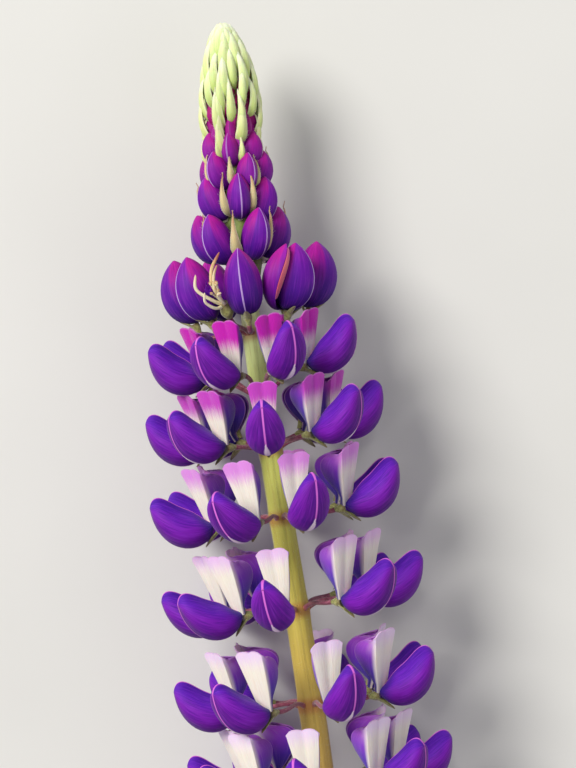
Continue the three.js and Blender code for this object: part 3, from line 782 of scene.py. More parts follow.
def banner_patch(w, n):
    """A banner: its front strip between the folds, and its two lobes behind."""
    height = WHORLS[w].banner
    (origin, axes), _, pitch = flower_seat(w, n)
    turn = -BANNER_TURN * math.sin(math.radians(WHORLS[w].azimuths[n]))
    seat_here = (origin, np.array([turned(axis, axes[1], turn) for axis in axes]))
    seed = flower_seed(w, n)
    lean = math.radians(BANNER_LEAN + pitch)
    forward = np.array([math.cos(lean), -math.sin(lean), 0])
    upward = np.array([math.sin(lean), math.cos(lean), 0])
    lobes = np.linspace(1, 2, LOBE_COLUMNS + 1)
    columns = np.concatenate([-lobes[::-1], np.linspace(-1, 1, FRONT_COLUMNS + 1)[1:-1], lobes])
    shares = np.linspace(0, 1, BANNER_ROWS + 1)
    grid = np.zeros((len(shares), len(columns), 3))
    rim = np.zeros(grid.shape[:2])
    for r, share in enumerate(shares):
        up = (height + BANNER_FOOT) * share - BANNER_FOOT
        half = BANNER_HALF_FOOT + (BANNER_HALF_TOP * height - BANNER_HALF_FOOT) * share**0.85
        spread = math.sin(math.pi * clamp01((share - 0.14) / 0.9)) ** 0.9
        back = BANNER_LEAST_FOLD + (WHORLS[w].lobe - 0.4) * spread
        closing = math.asin(min(0.45, (half - BANNER_FOLD) / back))
        drop = 0.05 * height * share
        for c, q in enumerate(columns):
            side = math.copysign(1, q)
            fold = max(0.0, abs(q) - 1)
            flat = min(1.0, abs(q))
            front = 1 - flat
            bulge = LOBE_BULGE * math.sin(math.pi * fold) * min(1, 3 * share)
            wave = 0.16 * math.sin(9 * share + 6.3 * draw(seed) + side) * fold**2
            sideways = side * (half * flat - back * math.sin(closing) * fold + bulge + wave)
            outwards = -back * math.cos(closing) * fold - BANNER_GROOVE * share * front**1.4
            outwards += 0.25 * share * math.sin(math.pi * flat) * (1 - fold)
            # The top edge rounds off at both sides and has a shallow notch at the crease.
            top = share**5
            upwards = up - drop * fold - 0.15 * share * front - 0.5 * top * front**5
            upwards -= top * (1.2 * flat**5 + fold)
            grid[r, c] = upward * upwards + forward * outwards + np.array([0, 0, sideways])
            rim[r, c] = min((2 - abs(q)) * back, (1 - share) * height * 1.02)
    facts = {
        "up": shares[:, None],
        "fold": np.abs(columns)[None],
        "rim": rim,
        "youth": w / (TOP_WHORL - 1),
        "tone": draw(seed + 0.4),
    }
    return shell(placed(seat_here, grid), BANNER_THICK, -1, facts)


def plus(first, second):
    """The sum of two values."""
    return step("Math", {0: first, 1: second}, operation="ADD").outputs[0]


def less(first, second):
    """The first value, less the second."""
    return step("Math", {0: first, 1: second}, operation="SUBTRACT").outputs[0]


banner_finish = new_finish(
    "banner_petal",
    {
        "Roughness": 0.62,
        "Sheen Weight": 0.2,
        "Specular IOR Level": 0.3,
        "Subsurface Weight": 0.12,
        "Subsurface Scale": 0.0008,
    },
)
banner_youth = fact("youth")
banner_up = fact("up")
banner_fold = fact("fold")
banner_rays = mottle(own_map(("fold", 22.0), ("up", 2.2)), 1.5, 4.0)
banner_clouds = mottle(own_map(("fold", 2.2), ("up", 3.0)), 1.3)
# The blush at the top of the strip: pale lilac on old flowers, magenta on young ones.
blush = shades(
    banner_youth,
    [(0.30, "efd6f0"), (0.52, "e9bfea"), (0.68, "dd86de"), (0.84, "c63cbe"), (1.0, "c812b0")],
)
blush_start = step(
    "MapRange",
    {"Value": banner_youth, "From Min": 0.5, "From Max": 1.0, "To Min": 0.62, "To Max": 0.3},
).outputs[0]
blush_at = plus(less(banner_up, blush_start), times(less(banner_rays, 0.5), 0.35))
strip_foot = shades(banner_rays, [(0.3, "faf4e4"), (0.6, "f5ead6"), (0.8, "e8d4b4")])
strip = mixed(soft_step(blush_at, 0.0, 0.36), strip_foot, blush)
lobe_run = shades(
    banner_up,
    [(0.10, "261c86"), (0.34, "4f22b0"), (0.58, "842cc4"), (0.82, "ac48d4"), (1.0, "c47cde")],
)
lobe_young = shades(
    banner_up, [(0.10, "231a6a"), (0.36, "3d1f92"), (0.66, "6a20ac"), (1.0, "a024b4")]
)
lobe_mix = mixed(soft_step(banner_youth, 0.55, 0.95), lobe_run, lobe_young)
lobe_veined = tinted(lobe_mix, banner_rays, 0.5, 0.75, "b58ad6", 0.22)
# The strip ends at the fold, but its blush runs on over the lobes near the top.
near_fold = less(banner_fold, times(banner_clouds, 0.5))
over = times(soft_step(banner_up, 0.52, 1.0), soft_step(near_fold, 1.35, 0.75))
lobe_blushed = mixed(times(over, 0.75), lobe_veined, blush)
banner_both = mixed(soft_step(banner_fold, 0.97, 1.2), strip, lobe_blushed)
banner_colour = tinted(banner_both, fact("rim"), 0.35, 0.08, "d9a2dc", 0.35)
connect(banner_colour, "Base Color")
raise_grain(banner_rays, 0.0001)


def flower_node(w, n):
    """The name of a flower's solid."""
    return f"flower_{w + 1}_{n + 1}"


for w, n in OPEN_FLOWERS:
    banner = banner_patch(w, n)
    make_piece(f"banner_{w + 1}_{n + 1}", [banner], banner_finish, [flower_node(w, n)])

# ---- The wings ------------------------------------------------------------------------------
# Two wing petals stand face to face and close into a pouch round the keel, sharp along the top
# and full below. They are deep violet with a pink margin, and pale where the lower margins meet.
# Painted shade darkens them towards the top, the belly and the foot; their middle is painted lighter.

WING_TOP_PULLS = [(5.4, 0.7), (12.0, 9.4)]
WING_BELLY_PULLS = [(0.2, -7.0), (11.2, -7.2)]
WING_THICK = 0.28
WING_COLUMNS = 30
WING_ROWS = 20
WING_PARTING = -0.04  # the two halves cross a little, so that no gap shows between them
WING_SHOULDER = 0.8  # the rounded corner of the upper margin, next to the foot
NO_MARGIN = 20  # a distance from the margin, for the parts that have none


def eased(count, low, high):
    """Shares from low to high, closer together towards both ends."""
    return 0.5 - 0.5 * np.cos(np.pi * np.linspace(low, high, count))


def smooth(values, low, high):
    """0 up to low, 1 from high on, and a smooth change between them."""
    share = np.clip((values - low) / (high - low), 0, 1)
    return share * share * (3 - 2 * share)


def run_length(grid, axis):
    """How far each point of a grid is from the first one, along one of its two directions."""
    steps = np.linalg.norm(np.diff(grid, axis=axis), axis=2)
    start = np.zeros_like(np.take(steps, [0], axis=axis))
    return np.cumsum(np.concatenate([start, steps], axis=axis), axis=axis)


def wing_patches(w, n):
    """The two wings of a flower."""
    size = WHORLS[w].size
    seat_here = flower_seat(w, n)[0]
    seed = flower_seed(w, n)
    along = eased(WING_COLUMNS, 0.045, 0.975)
    across = eased(WING_ROWS, 0.0, 1.0)
    top = bezier([WING_ROOT, *WING_TOP_PULLS, WING_TIP], along)
    belly = bezier([WING_ROOT, *WING_BELLY_PULLS, WING_TIP], along)
    top[:, 1] += WING_SHOULDER * np.exp(-(((along - 0.24) / 0.16) ** 2))
    flat = top[:, None] + (belly - top)[:, None] * across[None, :, None]
    thin = np.sin(np.pi * along)[:, None] ** 0.6
    full = 2.97 * across[None] ** 0.95 * (1 - across[None]) ** 0.66
    half = WING_HALF_WIDTH * thin * full
    # Pink runs along the top and down the front; the lowest part of the seam is pale instead.
    front = smooth(along, 0.40, 0.54)[:, None]
    lowest = smooth(along, 0.14, 0.30)[:, None] * (1 - smooth(along, 0.52, 0.74)[:, None])
    patches = []
    for side in (1, -1):
        swing = 0.25 * np.sin(5 * along[:, None] + 6.3 * draw(seed + side)) * across * (1 - across)
        grid = np.zeros((WING_COLUMNS, WING_ROWS, 3))
        grid[:, :, :2] = flat * size
        grid[:, :, 2] = side * size * (half * 0.97 + swing + WING_PARTING)
        rim = run_length(grid, 1)
        brim = rim[:, -1:] - rim
        # The margins are a little thicker than the blade and stand out as a fine cord.
        cord = rim * np.exp(-rim / 0.3) + front * brim * np.exp(-brim / 0.3)
        grid[:, :, 2] += side * 0.5 * cord
        pink = np.where(front > 0.02, brim / np.maximum(front, 0.05), NO_MARGIN)
        pale = np.where(lowest > 0.02, brim / np.maximum(lowest, 0.05), NO_MARGIN)
        facts = {
            "along": along[:, None],
            "across": across[None],
            "rim": np.minimum(0.85 * rim, pink),
            "brim": pale,
            "tone": draw(seed + 0.4),
        }
        patches.append(shell(placed(seat_here, grid), WING_THICK, side, facts))
    return patches


wing_finish = new_finish(
    "wing_petal",
    {"Roughness": 0.6, "Sheen Weight": 0.06, "Sheen Roughness": 0.35, "Specular IOR Level": 0.18},
)
wing_along = fact("along")
wing_across = fact("across")
wing_veins = mottle(own_map(("across", 34.0), ("along", 3.0)), 1.3, 4.0)
wing_clouds = mottle(own_map(("across", 2.5), ("along", 2.5)), 1.6)
wing_height = plus(times(wing_across, 0.72), times(wing_clouds, 0.34))
# Painted shade and light: the violet darkens towards the top margin and the belly, and is lighter
# across the middle.
wing_run_with_painted_shade = shades(
    wing_height,
    [(0.10, "3c1090"), (0.34, "5c17aa"), (0.58, "7616a8"), (0.76, "6c1098"), (0.98, "42086e")],
)
# Painted shade: the wing turns darker navy towards its foot.
wing_foot_painted_shade = tinted(wing_run_with_painted_shade, wing_along, 0.30, 0.05, "301682")
wing_veined = tinted(wing_foot_painted_shade, wing_veins, 0.50, 0.72, "9238cc", 0.30)
wing_dark = tinted(wing_veined, wing_veins, 0.50, 0.34, "3a0a7c", 0.5)
wing_edge = tinted(wing_dark, fact("rim"), 0.28, 0.10, "d268cf")
wing_colour = tinted(wing_edge, fact("brim"), 0.85, 0.4, "e9d3e2")
connect(wing_colour, "Base Color")
raise_grain(wing_veins, 0.0001)

for w, n in OPEN_FLOWERS:
    wings = wing_patches(w, n)
    make_piece(f"wings_{w + 1}_{n + 1}", wings, wing_finish, [flower_node(w, n)])

# ---- The closed flowers ---------------------------------------------------------------------
# At the highest whorl the banner is still folded round the wings. Its two halves meet along an
# outer ridge with pale margins; they are violet beside it and magenta higher up and further in.

CLOSED_LENGTH = 15.2
CLOSED_HALF_WIDTH = 4.3
FOLDED_THICK = 0.3
CLOSED_GRAIN = 30  # rows of points from foot to tip
HALVES_CROSS = 0.03  # how far each half crosses the middle, so that no gap shows


def folded_lines(length, along):
    """The crease on the stem's side and the outer ridge, in the flower's middle plane."""
    end = (length, -0.05 * length)
    inner = [(0, 0), (0.1 * length, 0.24 * length), (0.75 * length, 0.3 * length), end]
    outer = [(0, 0), (-0.02 * length, -0.5 * length), (0.74 * length, -0.6 * length), end]
    return bezier(inner, along), bezier(outer, along)


def folded_width(along):
    """The half-width as a share of the greatest one: blunt at the foot and sharp at the tip."""
    return np.sin(np.pi * along) ** (0.5 + 0.42 * along)


def folded_swell(across):
    """How far a half stands out between the crease and the ridge."""
    return 2.53 * across**0.6 * (1 - across) ** 0.75


def folded_half(seat_here, length, half_width, side, youth, seed, grain, cover=None):
    """One half of a folded banner; cover gives how far it reaches round, where it is open."""
    along = eased(grain, 0.02, 0.988)
    across = np.repeat(eased(grain * 2 // 3, 0.0, 1.0)[None], grain, axis=0)
    if cover is not None:
        across = across * cover(along)[:, None]
    inner, outer = folded_lines(length, along)
    grid = np.zeros((*across.shape, 3))
    grid[:, :, :2] = inner[:, None] + (outer - inner)[:, None] * across[:, :, None]
    thin = folded_width(along)[:, None]
    full = folded_swell(across)
    # A soft crease runs from the foot to the tip, where the margins' band begins.
    crease = 0.085 * np.exp(-(((across - 0.66) / 0.06) ** 2)) * np.sin(np.pi * along)[:, None]
    sway = 0.05 * np.sin(4 * along[:, None] + 6.3 * draw(seed + side)) * across * (1 - across)
    grid[:, :, 2] = side * (half_width * (thin * full * (0.97 - crease) + sway) - HALVES_CROSS)
    run = run_length(grid, 1)
    brim = run[:, -1:] - run
    grid[:, :, 2] += side * 0.3 * brim * np.exp(-brim / 0.28)
    # The pale margin is narrower on small buds, and an open side has none.
    margin = brim / (0.35 + 0.65 * length / CLOSED_LENGTH) / np.maximum(thin, 0.3)
    facts = {
        "along": along[:, None],
        "across": across,
        "rim": NO_MARGIN if cover else margin,
        "youth": youth,
        "tone": draw(seed + 0.4),
    }
    return shell(placed(seat_here, grid), FOLDED_THICK, side, facts)


def folded_pair(seat_here, length, half_width, youth, seed, grain):
    """Both halves of a folded banner."""
    return [
        folded_half(seat_here, length, half_width, side, youth, seed, grain) for side in (1, -1)
    ]


folded_finish = new_finish(
    "folded_petal",
    {
        "Roughness": 0.55,
        "Sheen Weight": 0.04,
        "Sheen Roughness": 0.35,
        "Specular IOR Level": 0.18,
    },
)
folded_along = fact("along")
folded_across = fact("across")
folded_youth = fact("youth")
folded_veins = mottle(own_map(("across", 26.0), ("along", 2.4)), 1.3, 4.0)
folded_clouds = mottle(own_map(("across", 3.0), ("along", 3.0)), 1.4)
folded_height = plus(folded_along, times(less(folded_clouds, 0.5), 0.5))
folded_inner = shades(
    folded_height,
    [(0.08, "280660"), (0.36, "540a88"), (0.62, "7c0c90"), (0.86, "9e0a8a"), (1.0, "b81898")],
)
folded_outer = shades(
    folded_height, [(0.08, "24065a"), (0.42, "480a86"), (0.75, "660e98"), (1.0, "8a1aa4")]
)
# The violet band beside the ridge is widest at the foot and narrow on young buds.
folded_line = plus(times(folded_along, 0.16), times(folded_youth, 0.14))
folded_at = plus(times(folded_clouds, 0.16), less(folded_across, folded_line))
folded_band = soft_step(folded_at, 0.63, 0.73)
folded_old = mixed(folded_band, folded_inner, folded_outer)
folded_young = shades(
    folded_height, [(0.05, "5a1070"), (0.4, "86128a"), (0.75, "a4148a"), (1.0, "b81e8c")]
)
folded_age = times(soft_step(folded_youth, 0.1, 0.7), 0.75)
folded_mix = mixed(folded_age, folded_old, folded_young)
folded_tiny = tinted(folded_mix, folded_youth, 0.75, 1.0, "a3145f")
folded_veined = tinted(folded_tiny, folded_veins, 0.5, 0.72, "a83ec8", 0.2)
folded_dark = tinted(folded_veined, folded_veins, 0.48, 0.3, "2a0d60", 0.3)
folded_margin = times(soft_step(fact("rim"), 0.17, 0.06), soft_step(folded_youth, 1.0, 0.3))
folded_colour = mixed(folded_margin, folded_dark, paint("c8a5de"))
connect(folded_colour, "Base Color")
raise_grain(folded_veins, 0.0001)

for n in range(len(WHORLS[TOP_WHORL].azimuths)):
    if (TOP_WHORL, n) == HALF_OPEN:
        continue
    closed_here = flower_seat(TOP_WHORL, n)[0]
    closed_pair = folded_pair(
        closed_here, CLOSED_LENGTH, CLOSED_HALF_WIDTH, 0.0, 300 + n, CLOSED_GRAIN
    )
    closed_node = flower_node(TOP_WHORL, n)
    make_piece(f"closed_8_{n + 1}", closed_pair, folded_finish, [closed_node])

# ---- The half-open flower -------------------------------------------------------------------
# One flower beside the closed ones has begun to open. Its wings already bulge out of the banner,
# and the banner's margin has rolled back, so a strip of its salmon-pink inner face can be seen.

HALF_OPEN_WIDEN = 1.5
OPENING_WINGS_WIDE = 4.4
OPENING_WINGS_TURN = 34  # degrees that they have turned away from the banner's open side
FLAP_START = 0.34
FLAP_LENGTH = 0.62
FLAP_WIDE = 2.0
FLAP_THICK = 0.3
FLAP_ROWS = 30
FLAP_COLUMNS = 12


def opening_margin(along):
    """How far the open side of the banner reaches round, from the foot to the tip."""
    return 0.66 + 0.27 * along**1.5


def opening_side(seat_here):
    """The open side of the banner, whose free margin runs aslant from the foot to the tip."""
    wide = CLOSED_HALF_WIDTH * HALF_OPEN_WIDEN
    return folded_half(seat_here, CLOSED_LENGTH, wide, 1, 0.3, 337, CLOSED_GRAIN, opening_margin)


def opening_flap(seat_here):
    """The rolled margin of that side: a strip that turns in, widest below its middle."""
    shares = np.linspace(0, 1, FLAP_ROWS)
    along = FLAP_START + FLAP_LENGTH * shares
    across = np.linspace(0, 1, FLAP_COLUMNS)
    inner, outer = folded_lines(CLOSED_LENGTH, along)
    reach = opening_margin(along)
    line = inner + (outer - inner) * reach[:, None]
    full = 0.97 * folded_swell(reach)
    start = CLOSED_HALF_WIDTH * HALF_OPEN_WIDEN * folded_width(along) * full
    wide = FLAP_WIDE * np.sin(np.pi * shares**0.9) ** 0.9
    grid = np.zeros((FLAP_ROWS, FLAP_COLUMNS, 3))
    grid[:, :, 0] = line[:, None, 0]
    grid[:, :, 1] = line[:, None, 1] - 0.2 + 0.7 * wide[:, None] * across[None] ** 2
    grid[:, :, 2] = start[:, None] - wide[:, None] * across[None]
    facts = {"along": shares[:, None], "across": across[None], "tone": 0.3}
    return shell(placed(seat_here, grid), FLAP_THICK, 1, facts)


flap_finish = new_finish("opening_flap", {"Roughness": 0.6, "Sheen Weight": 0.2})
flap_streaks = mottle(own_map(("across", 7.0), ("along", 1.6)), 1.4)
flap_run = shades(
    fact("along"), [(0.0, "8a3a6a"), (0.3, "cf566a"), (0.7, "de6e78"), (1.0, "bc3a92")]
)
flap_colour = tinted(flap_run, flap_streaks, 0.4, 0.7, "c9415f", 0.4)
connect(flap_colour, "Base Color")

opening_here, opening_stem, _ = flower_seat(*HALF_OPEN)
opening_node = [flower_node(*HALF_OPEN)]
wings_axes = np.array(
    [turned(axis, opening_stem[0], OPENING_WINGS_TURN) for axis in opening_here[1]]
)
opening_wings = folded_pair(
    (opening_here[0], wings_axes), CLOSED_LENGTH, OPENING_WINGS_WIDE, -1.0, 331, CLOSED_GRAIN
)
make_piece("opening_wings", opening_wings, folded_finish, opening_node)
make_piece("opening_banner", [opening_side(opening_here)], folded_finish, opening_node)
make_piece("opening_flap", [opening_flap(opening_here)], flap_finish, opening_node)

# ---- The flower without petals --------------------------------------------------------------
# One flower has lost its petals. Its stamens and pistil stand bare: pale threads that curl out of
# the cup, some with a darker tip, and a withered violet scrap of a petal between them.

# Each strand runs through points (aside, up, outwards) from the cup, with its radius and how tan.
STRANDS = [
    ([(0.2, 0, 0.2), (1.7, 1.4, 3.2), (4.2, 4.2, 5.6), (3.6, 7.6, 6.4)], 0.5, 0.2),
    ([(0, 0, 0.2), (0.8, 4.0, 3.6), (0.2, 8.2, 4.6), (-2.6, 12.0, 5.2)], 0.55, 0.9),
    ([(0, 0.1, 0), (0.2, 3.4, 4.2), (-0.6, 6.8, 5.6), (-2.2, 9.0, 6.8)], 0.45, 0.6),
    ([(-0.2, 0, 0.2), (-0.9, 0.6, 3.2), (-1.0, 2.2, 5.6), (-2.4, 2.6, 7.0)], 0.45, 0.3),
    ([(0.1, -0.2, 0.3), (1.0, -0.6, 3.4), (2.2, 1.0, 6.0), (1.6, 3.2, 7.2)], 0.42, 0.1),
]
STRAND_STEPS = 26
STRAND_SIDES = 10
FILAMENTS = 7
FILAMENT_STEPS = 14
FILAMENT_SIDES = 6
FILAMENT_RADIUS = 0.16
ANTHER_STEPS = 7
ANTHER_SIDES = 8
ANTHER_RADIUS = 0.34
SCRAP_ROWS = 9
SCRAP_COLUMNS = 7
SCRAP_THICK = 0.2


def curve_through(points, count):
    """A smooth curve through a few points, with evenly spread shares."""
    points = np.asarray(points, float)
    padded = np.concatenate([[2 * points[0] - points[1]], points, [2 * points[-1] - points[-2]]])
    result = []
    for share in np.linspace(0, len(points) - 1 - 1e-9, count):
        k = int(share)
        t = share - k
        a, b, c, d = padded[k : k + 4]
        squared = (2 * a - 5 * b + 4 * c - d) * t**2
        cubed = (3 * b - a - 3 * c + d) * t**3
        result.append(0.5 * (2 * b + (c - a) * t + squared + cubed))
    return np.array(result)


stamen_finish = new_finish(
    "stamen_thread", {"Roughness": 0.5, "Subsurface Weight": 0.1, "Subsurface Scale": 0.0006}
)
stamen_spots = mottle(own_map(("around", 5.0), ("along", 6.0)), 1.5)
stamen_pale = shades(stamen_spots, [(0.3, "d9d3a0"), (0.5, "f1ecd2"), (0.7, "e9d9b0")])
stamen_tan = shades(stamen_spots, [(0.3, "c79a5c"), (0.5, "e3c58c"), (0.7, "d9a86c")])
stamen_both = mixed(fact("tone"), stamen_pale, stamen_tan)
stamen_end = times(soft_step(fact("along"), 0.72, 0.95), fact("tone"))
stamen_colour = mixed(stamen_end, stamen_both, paint("a04a38"))
connect(stamen_colour, "Base Color")

bare_mouth = placed(bare_here, [(0, -CALYX_DROP, 0)])[0]
bare_up, bare_out, bare_side = bare_stem_here
threads = []
for through, thick, tan in STRANDS:
    line = curve_through(
        [bare_mouth + bare_side * a + bare_up * b + bare_out * c for a, b, c in through], STRAND_STEPS
    )
    shares = np.linspace(0, 1, STRAND_STEPS)
    radii = thick * (1 - 0.35 * shares) * np.sqrt(1 - 0.96 * shares**14)
    threads.append(tube(line, radii, STRAND_SIDES, tan))
# Thin free filaments beside the thick ones, each with a small anther at its end.
for k in range(FILAMENTS):
    lean = 2.2 * (draw(k + 0.3) - 0.5)
    start = bare_mouth + bare_side * 0.5 * (draw(k + 0.1) - 0.5) + bare_out * 0.4
    ends = [
        start,
        start + bare_up * (1.2 + 1.4 * draw(k + 0.5)) + bare_out * 2.4 + bare_side * (0.4 * lean),
        start + bare_up * (2.6 + 3.4 * draw(k + 0.7)) + bare_out * 4.6 + bare_side * lean,
    ]
    line = curve_through(ends, FILAMENT_STEPS)
    radii = np.full(FILAMENT_STEPS, FILAMENT_RADIUS)
    threads.append(tube(line, radii, FILAMENT_SIDES, 0.1))
    way = unit(line[-1] - line[-2])
    anther = [line[-1] + way * s for s in np.linspace(-0.2, 0.9, ANTHER_STEPS)]
    round_off = np.sin(np.pi * np.linspace(0.06, 0.94, ANTHER_STEPS)) ** 0.6
    threads.append(tube(anther, ANTHER_RADIUS * round_off, ANTHER_SIDES, 0.7))
make_piece("bare_threads", threads, stamen_finish, ["bare_stamens"])

scrap_grid = np.zeros((SCRAP_ROWS, SCRAP_COLUMNS, 3))
middle = SCRAP_COLUMNS // 2
for r in range(SCRAP_ROWS):
    for c in range(SCRAP_COLUMNS):
        wide = 1.3 * math.sin(math.pi * (r + 0.6) / (SCRAP_ROWS + 0.5))
        scrap_grid[r, c] = (
            bare_mouth
            + bare_side * (1.5 + wide * (c - middle) / middle)
            + bare_up * (2.2 + 0.42 * r)
            + bare_out * (3.6 + 0.5 * math.sin(1.9 * c + r) + 0.12 * r)
        )
scrap_facts = {
    "along": np.linspace(0.3, 0.9, SCRAP_ROWS)[:, None],
    "across": np.linspace(0.5, 1, SCRAP_COLUMNS)[None],
    "rim": np.linspace(2, 0.2, SCRAP_COLUMNS)[None],
    "youth": 0.0,
    "tone": 0.5,
}
scrap = shell(scrap_grid, SCRAP_THICK, 1, scrap_facts)
make_piece("petal_scrap", [scrap], folded_finish, ["bare_stamens"])

# ---- The coloured buds ----------------------------------------------------------------------
# Above the whorls the buds stand in rows round the stem, each a small folded flower. They are
# violet with a pale margin in the lowest row and turn magenta higher up.

# Rows from the lowest up; lean is from the stem's own direction, turn is round the stem.
BudRow = namedtuple("BudRow", "place length reach lean turn")
HEAD_ROWS = [
    BudRow(195.2, 12.2, 4.9, 23, 22),
    BudRow(204.2, 10.6, 4.3, 19, 2),
    BudRow(211.2, 9.0, 4.0, 17, 22),
    BudRow(217.4, 7.6, 3.7, 14, -5),
]
# The green tip has no rows: it is one spiral, whose length, reach and lean change with the place.
TIP_PLACES = [218.0, 222.6, 227.6, 232.4, 236.8, 241.0, 245.2]
TIP_LENGTHS = [10.4, 10.6, 10.8, 11.2, 12.6, 9.5, 5.6]
TIP_REACHES = [2.6, 4.0, 4.3, 4.1, 3.7, 2.8, 1.3]
TIP_LEANS = [15, 9, 4, -1, -10, -12, -10]
SPIRAL_TURN = 137.5  # degrees from each bract of the tip to the next one
TINY_BUDS = 30
TINY_BUDS_FROM = 219.0
TINY_BUDS_SPAN = 15.5
TINY_BUD_LENGTH = 7.4
TINY_BUD_SHRINK = 3.0  # how much shorter the highest ones are
TINY_BUD_DEEPER = 1.1  # how much closer to the stem they stand than the bracts
TINY_BUD_GRAIN = 15
BUD_GRAIN = 24
BUDS_PER_ROW = 7
BUD_HALF_WIDTH = 0.26  # share of its length
BUD_TURN_SPREAD = 8
BUD_ALONG_SPREAD = 1.6
BUD_PITCH_SPREAD = 4
BUD_YAW_SPREAD = 26
BUD_TURN_ASIDE = 36  # the ridges of the side buds face away from the light


def head_seat(k, n, beside, yaw=0.0):
    """A seat in a row of the head, some degrees beside the bud's own place."""
    place, _, reach, lean, turn = HEAD_ROWS[k]
    seed = 400 + 17 * k + n
    azimuth = turn + 360 / BUDS_PER_ROW * n + BUD_TURN_SPREAD * (draw(seed) - 0.5) + beside
    place += BUD_ALONG_SPREAD * (draw(seed + 0.2) - 0.5)
    pitch = 90 - lean + BUD_PITCH_SPREAD * (draw(seed + 0.4) - 0.5)
    here = stem_frame(place, azimuth)
    return seat(stem_point(place) + here[1] * reach, here, pitch, yaw)


def bud_seat(k, n):
    """The seat of a coloured bud."""
    aside = math.sin(math.radians(HEAD_ROWS[k].turn + 360 / BUDS_PER_ROW * n))
    yaw = BUD_TURN_ASIDE * aside + BUD_YAW_SPREAD * (draw(600 + 9 * k + n) - 0.5)
    return head_seat(k, n, 0, yaw)


def spiral_seat(place, azimuth, deeper, seed):
    """A seat in the green tip, so much closer to the stem than a bract's, and the length there."""
    length, reach, lean = [
        float(np.interp(place, TIP_PLACES, values))
        for values in (TIP_LENGTHS, TIP_REACHES, TIP_LEANS)
    ]
    here = stem_frame(place, azimuth)
    pitch = 90 - lean + BUD_PITCH_SPREAD * (draw(seed) - 0.5)
    return seat(stem_point(place) + here[1] * (reach - deeper), here, pitch), length


head_buds = []
for k, row in enumerate(HEAD_ROWS):
    for n in range(BUDS_PER_ROW):
        half_width = BUD_HALF_WIDTH * row.length
        youth = 0.06 + 0.17 * k
        head_buds += folded_pair(
            bud_seat(k, n), row.length, half_width, youth, 500 + 9 * k + n, BUD_GRAIN
        )
make_piece("head_buds", head_buds, folded_finish, ["bud_cluster"])
tiny_buds = []
for n in range(TINY_BUDS):
    share = n / TINY_BUDS
    place = TINY_BUDS_FROM + TINY_BUDS_SPAN * share
    azimuth = SPIRAL_TURN * n + 30 * (draw(640 + n) - 0.5) + 24
    bud_here = spiral_seat(place, azimuth, TINY_BUD_DEEPER, 660 + n)[0]
    length = TINY_BUD_LENGTH - TINY_BUD_SHRINK * share
    youth = 0.8 + 0.25 * share
    tiny_buds += folded_pair(
        bud_here, length, BUD_HALF_WIDTH * length, youth, 600 + n, TINY_BUD_GRAIN
    )
make_piece("tiny_buds", tiny_buds, folded_finish, ["bud_tip"])

# ---- The cups of the buds -------------------------------------------------------------------
# Each coloured bud sits in a small green cup, with a short hollow lip below it. The cups are
# fresher and paler than those of the open flowers.

BUD_CUP_STEPS = 8
BUD_CUP_SIDES = 12
BUD_LIP_HALF_WIDTH = 0.17  # share of the bud's length
# The lip's line (outwards, up), as shares of the bud's length.
BUD_LIP = [(0.0, -0.1), (0.04, -0.24), (0.14, -0.34), (0.34, -0.40)]


def bud_cup(seat_here, length, tone):
    """The cup of a bud and its lip."""
    shares = np.linspace(0, 1, BUD_CUP_STEPS)
    line = [(length * (-0.06 + 0.2 * s), -length * 0.05 * s, 0) for s in shares]
    radii = length * (0.05 + 0.085 * np.sin(0.5 * np.pi * shares) ** 0.8)
    cup = tube(placed(seat_here, line), radii, BUD_CUP_SIDES, tone)
    lip = [(length * o, length * u) for o, u in BUD_LIP]
    return [cup, lip_patch(seat_here, lip, BUD_LIP_HALF_WIDTH * length, 0.7, tone)]


cup_finish = new_finish("bud_cup", {"Roughness": 0.6, "Sheen Weight": 0.4})
cup_spots = mottle(own_map(("around", 9.0), ("along", 5.0)), 1.2)
cup_green = shades(cup_spots, [(0.3, "94a552"), (0.55, "b7c67c"), (0.75, "d3dca8")])
cup_aside = step("Math", {0: fact("around")}, operation="ABSOLUTE").outputs[0]
cup_colour = tinted(cup_green, cup_aside, 0.34, 0.5, "e9edcf")
connect(cup_colour, "Base Color")

bud_cups = []
for k, row in enumerate(HEAD_ROWS):
    for n in range(BUDS_PER_ROW):
        bud_cups += bud_cup(bud_seat(k, n), row.length, draw(7 * k + n))
make_piece("bud_cups", bud_cups, cup_finish, ["bud_cluster"])

# ---- The bracts -----------------------------------------------------------------------------
# A slender silky bract stands beside each bud. The lower ones are dry, cream and tan; in the tip
# they are fresh, pale yellow-green, and lie over each other in one spiral.

HEAD_BRACT_BESIDE = 24
HEAD_BRACT_HALF = 0.12  # share of its bud's length
HEAD_BRACT_STAND = 1.25  # how far they stand out over the gap between two buds
HEAD_BRACT_HAIRS = 46
HEAD_BRACT_HAIR_LENGTH = 0.55
TIP_BRACTS = 74
TIP_BRACTS_FROM = 218.2
TIP_BRACTS_SPAN = 27.0
TIP_BRACT_HALF = 1.42
TIP_BRACT_STAND = 0.2
TIP_BRACT_HAIRS = 60
TIP_BRACT_HAIR_LENGTH = 0.6
GAPS_UP_TO = 225.0  # the bracts below this come out of the gaps between coloured buds
BRACT_THICK = 0.2
BRACT_DEEP = 1.0
BRACT_BEND = 0.1
BRACT_ROWS = 22
BRACT_COLUMNS = 11


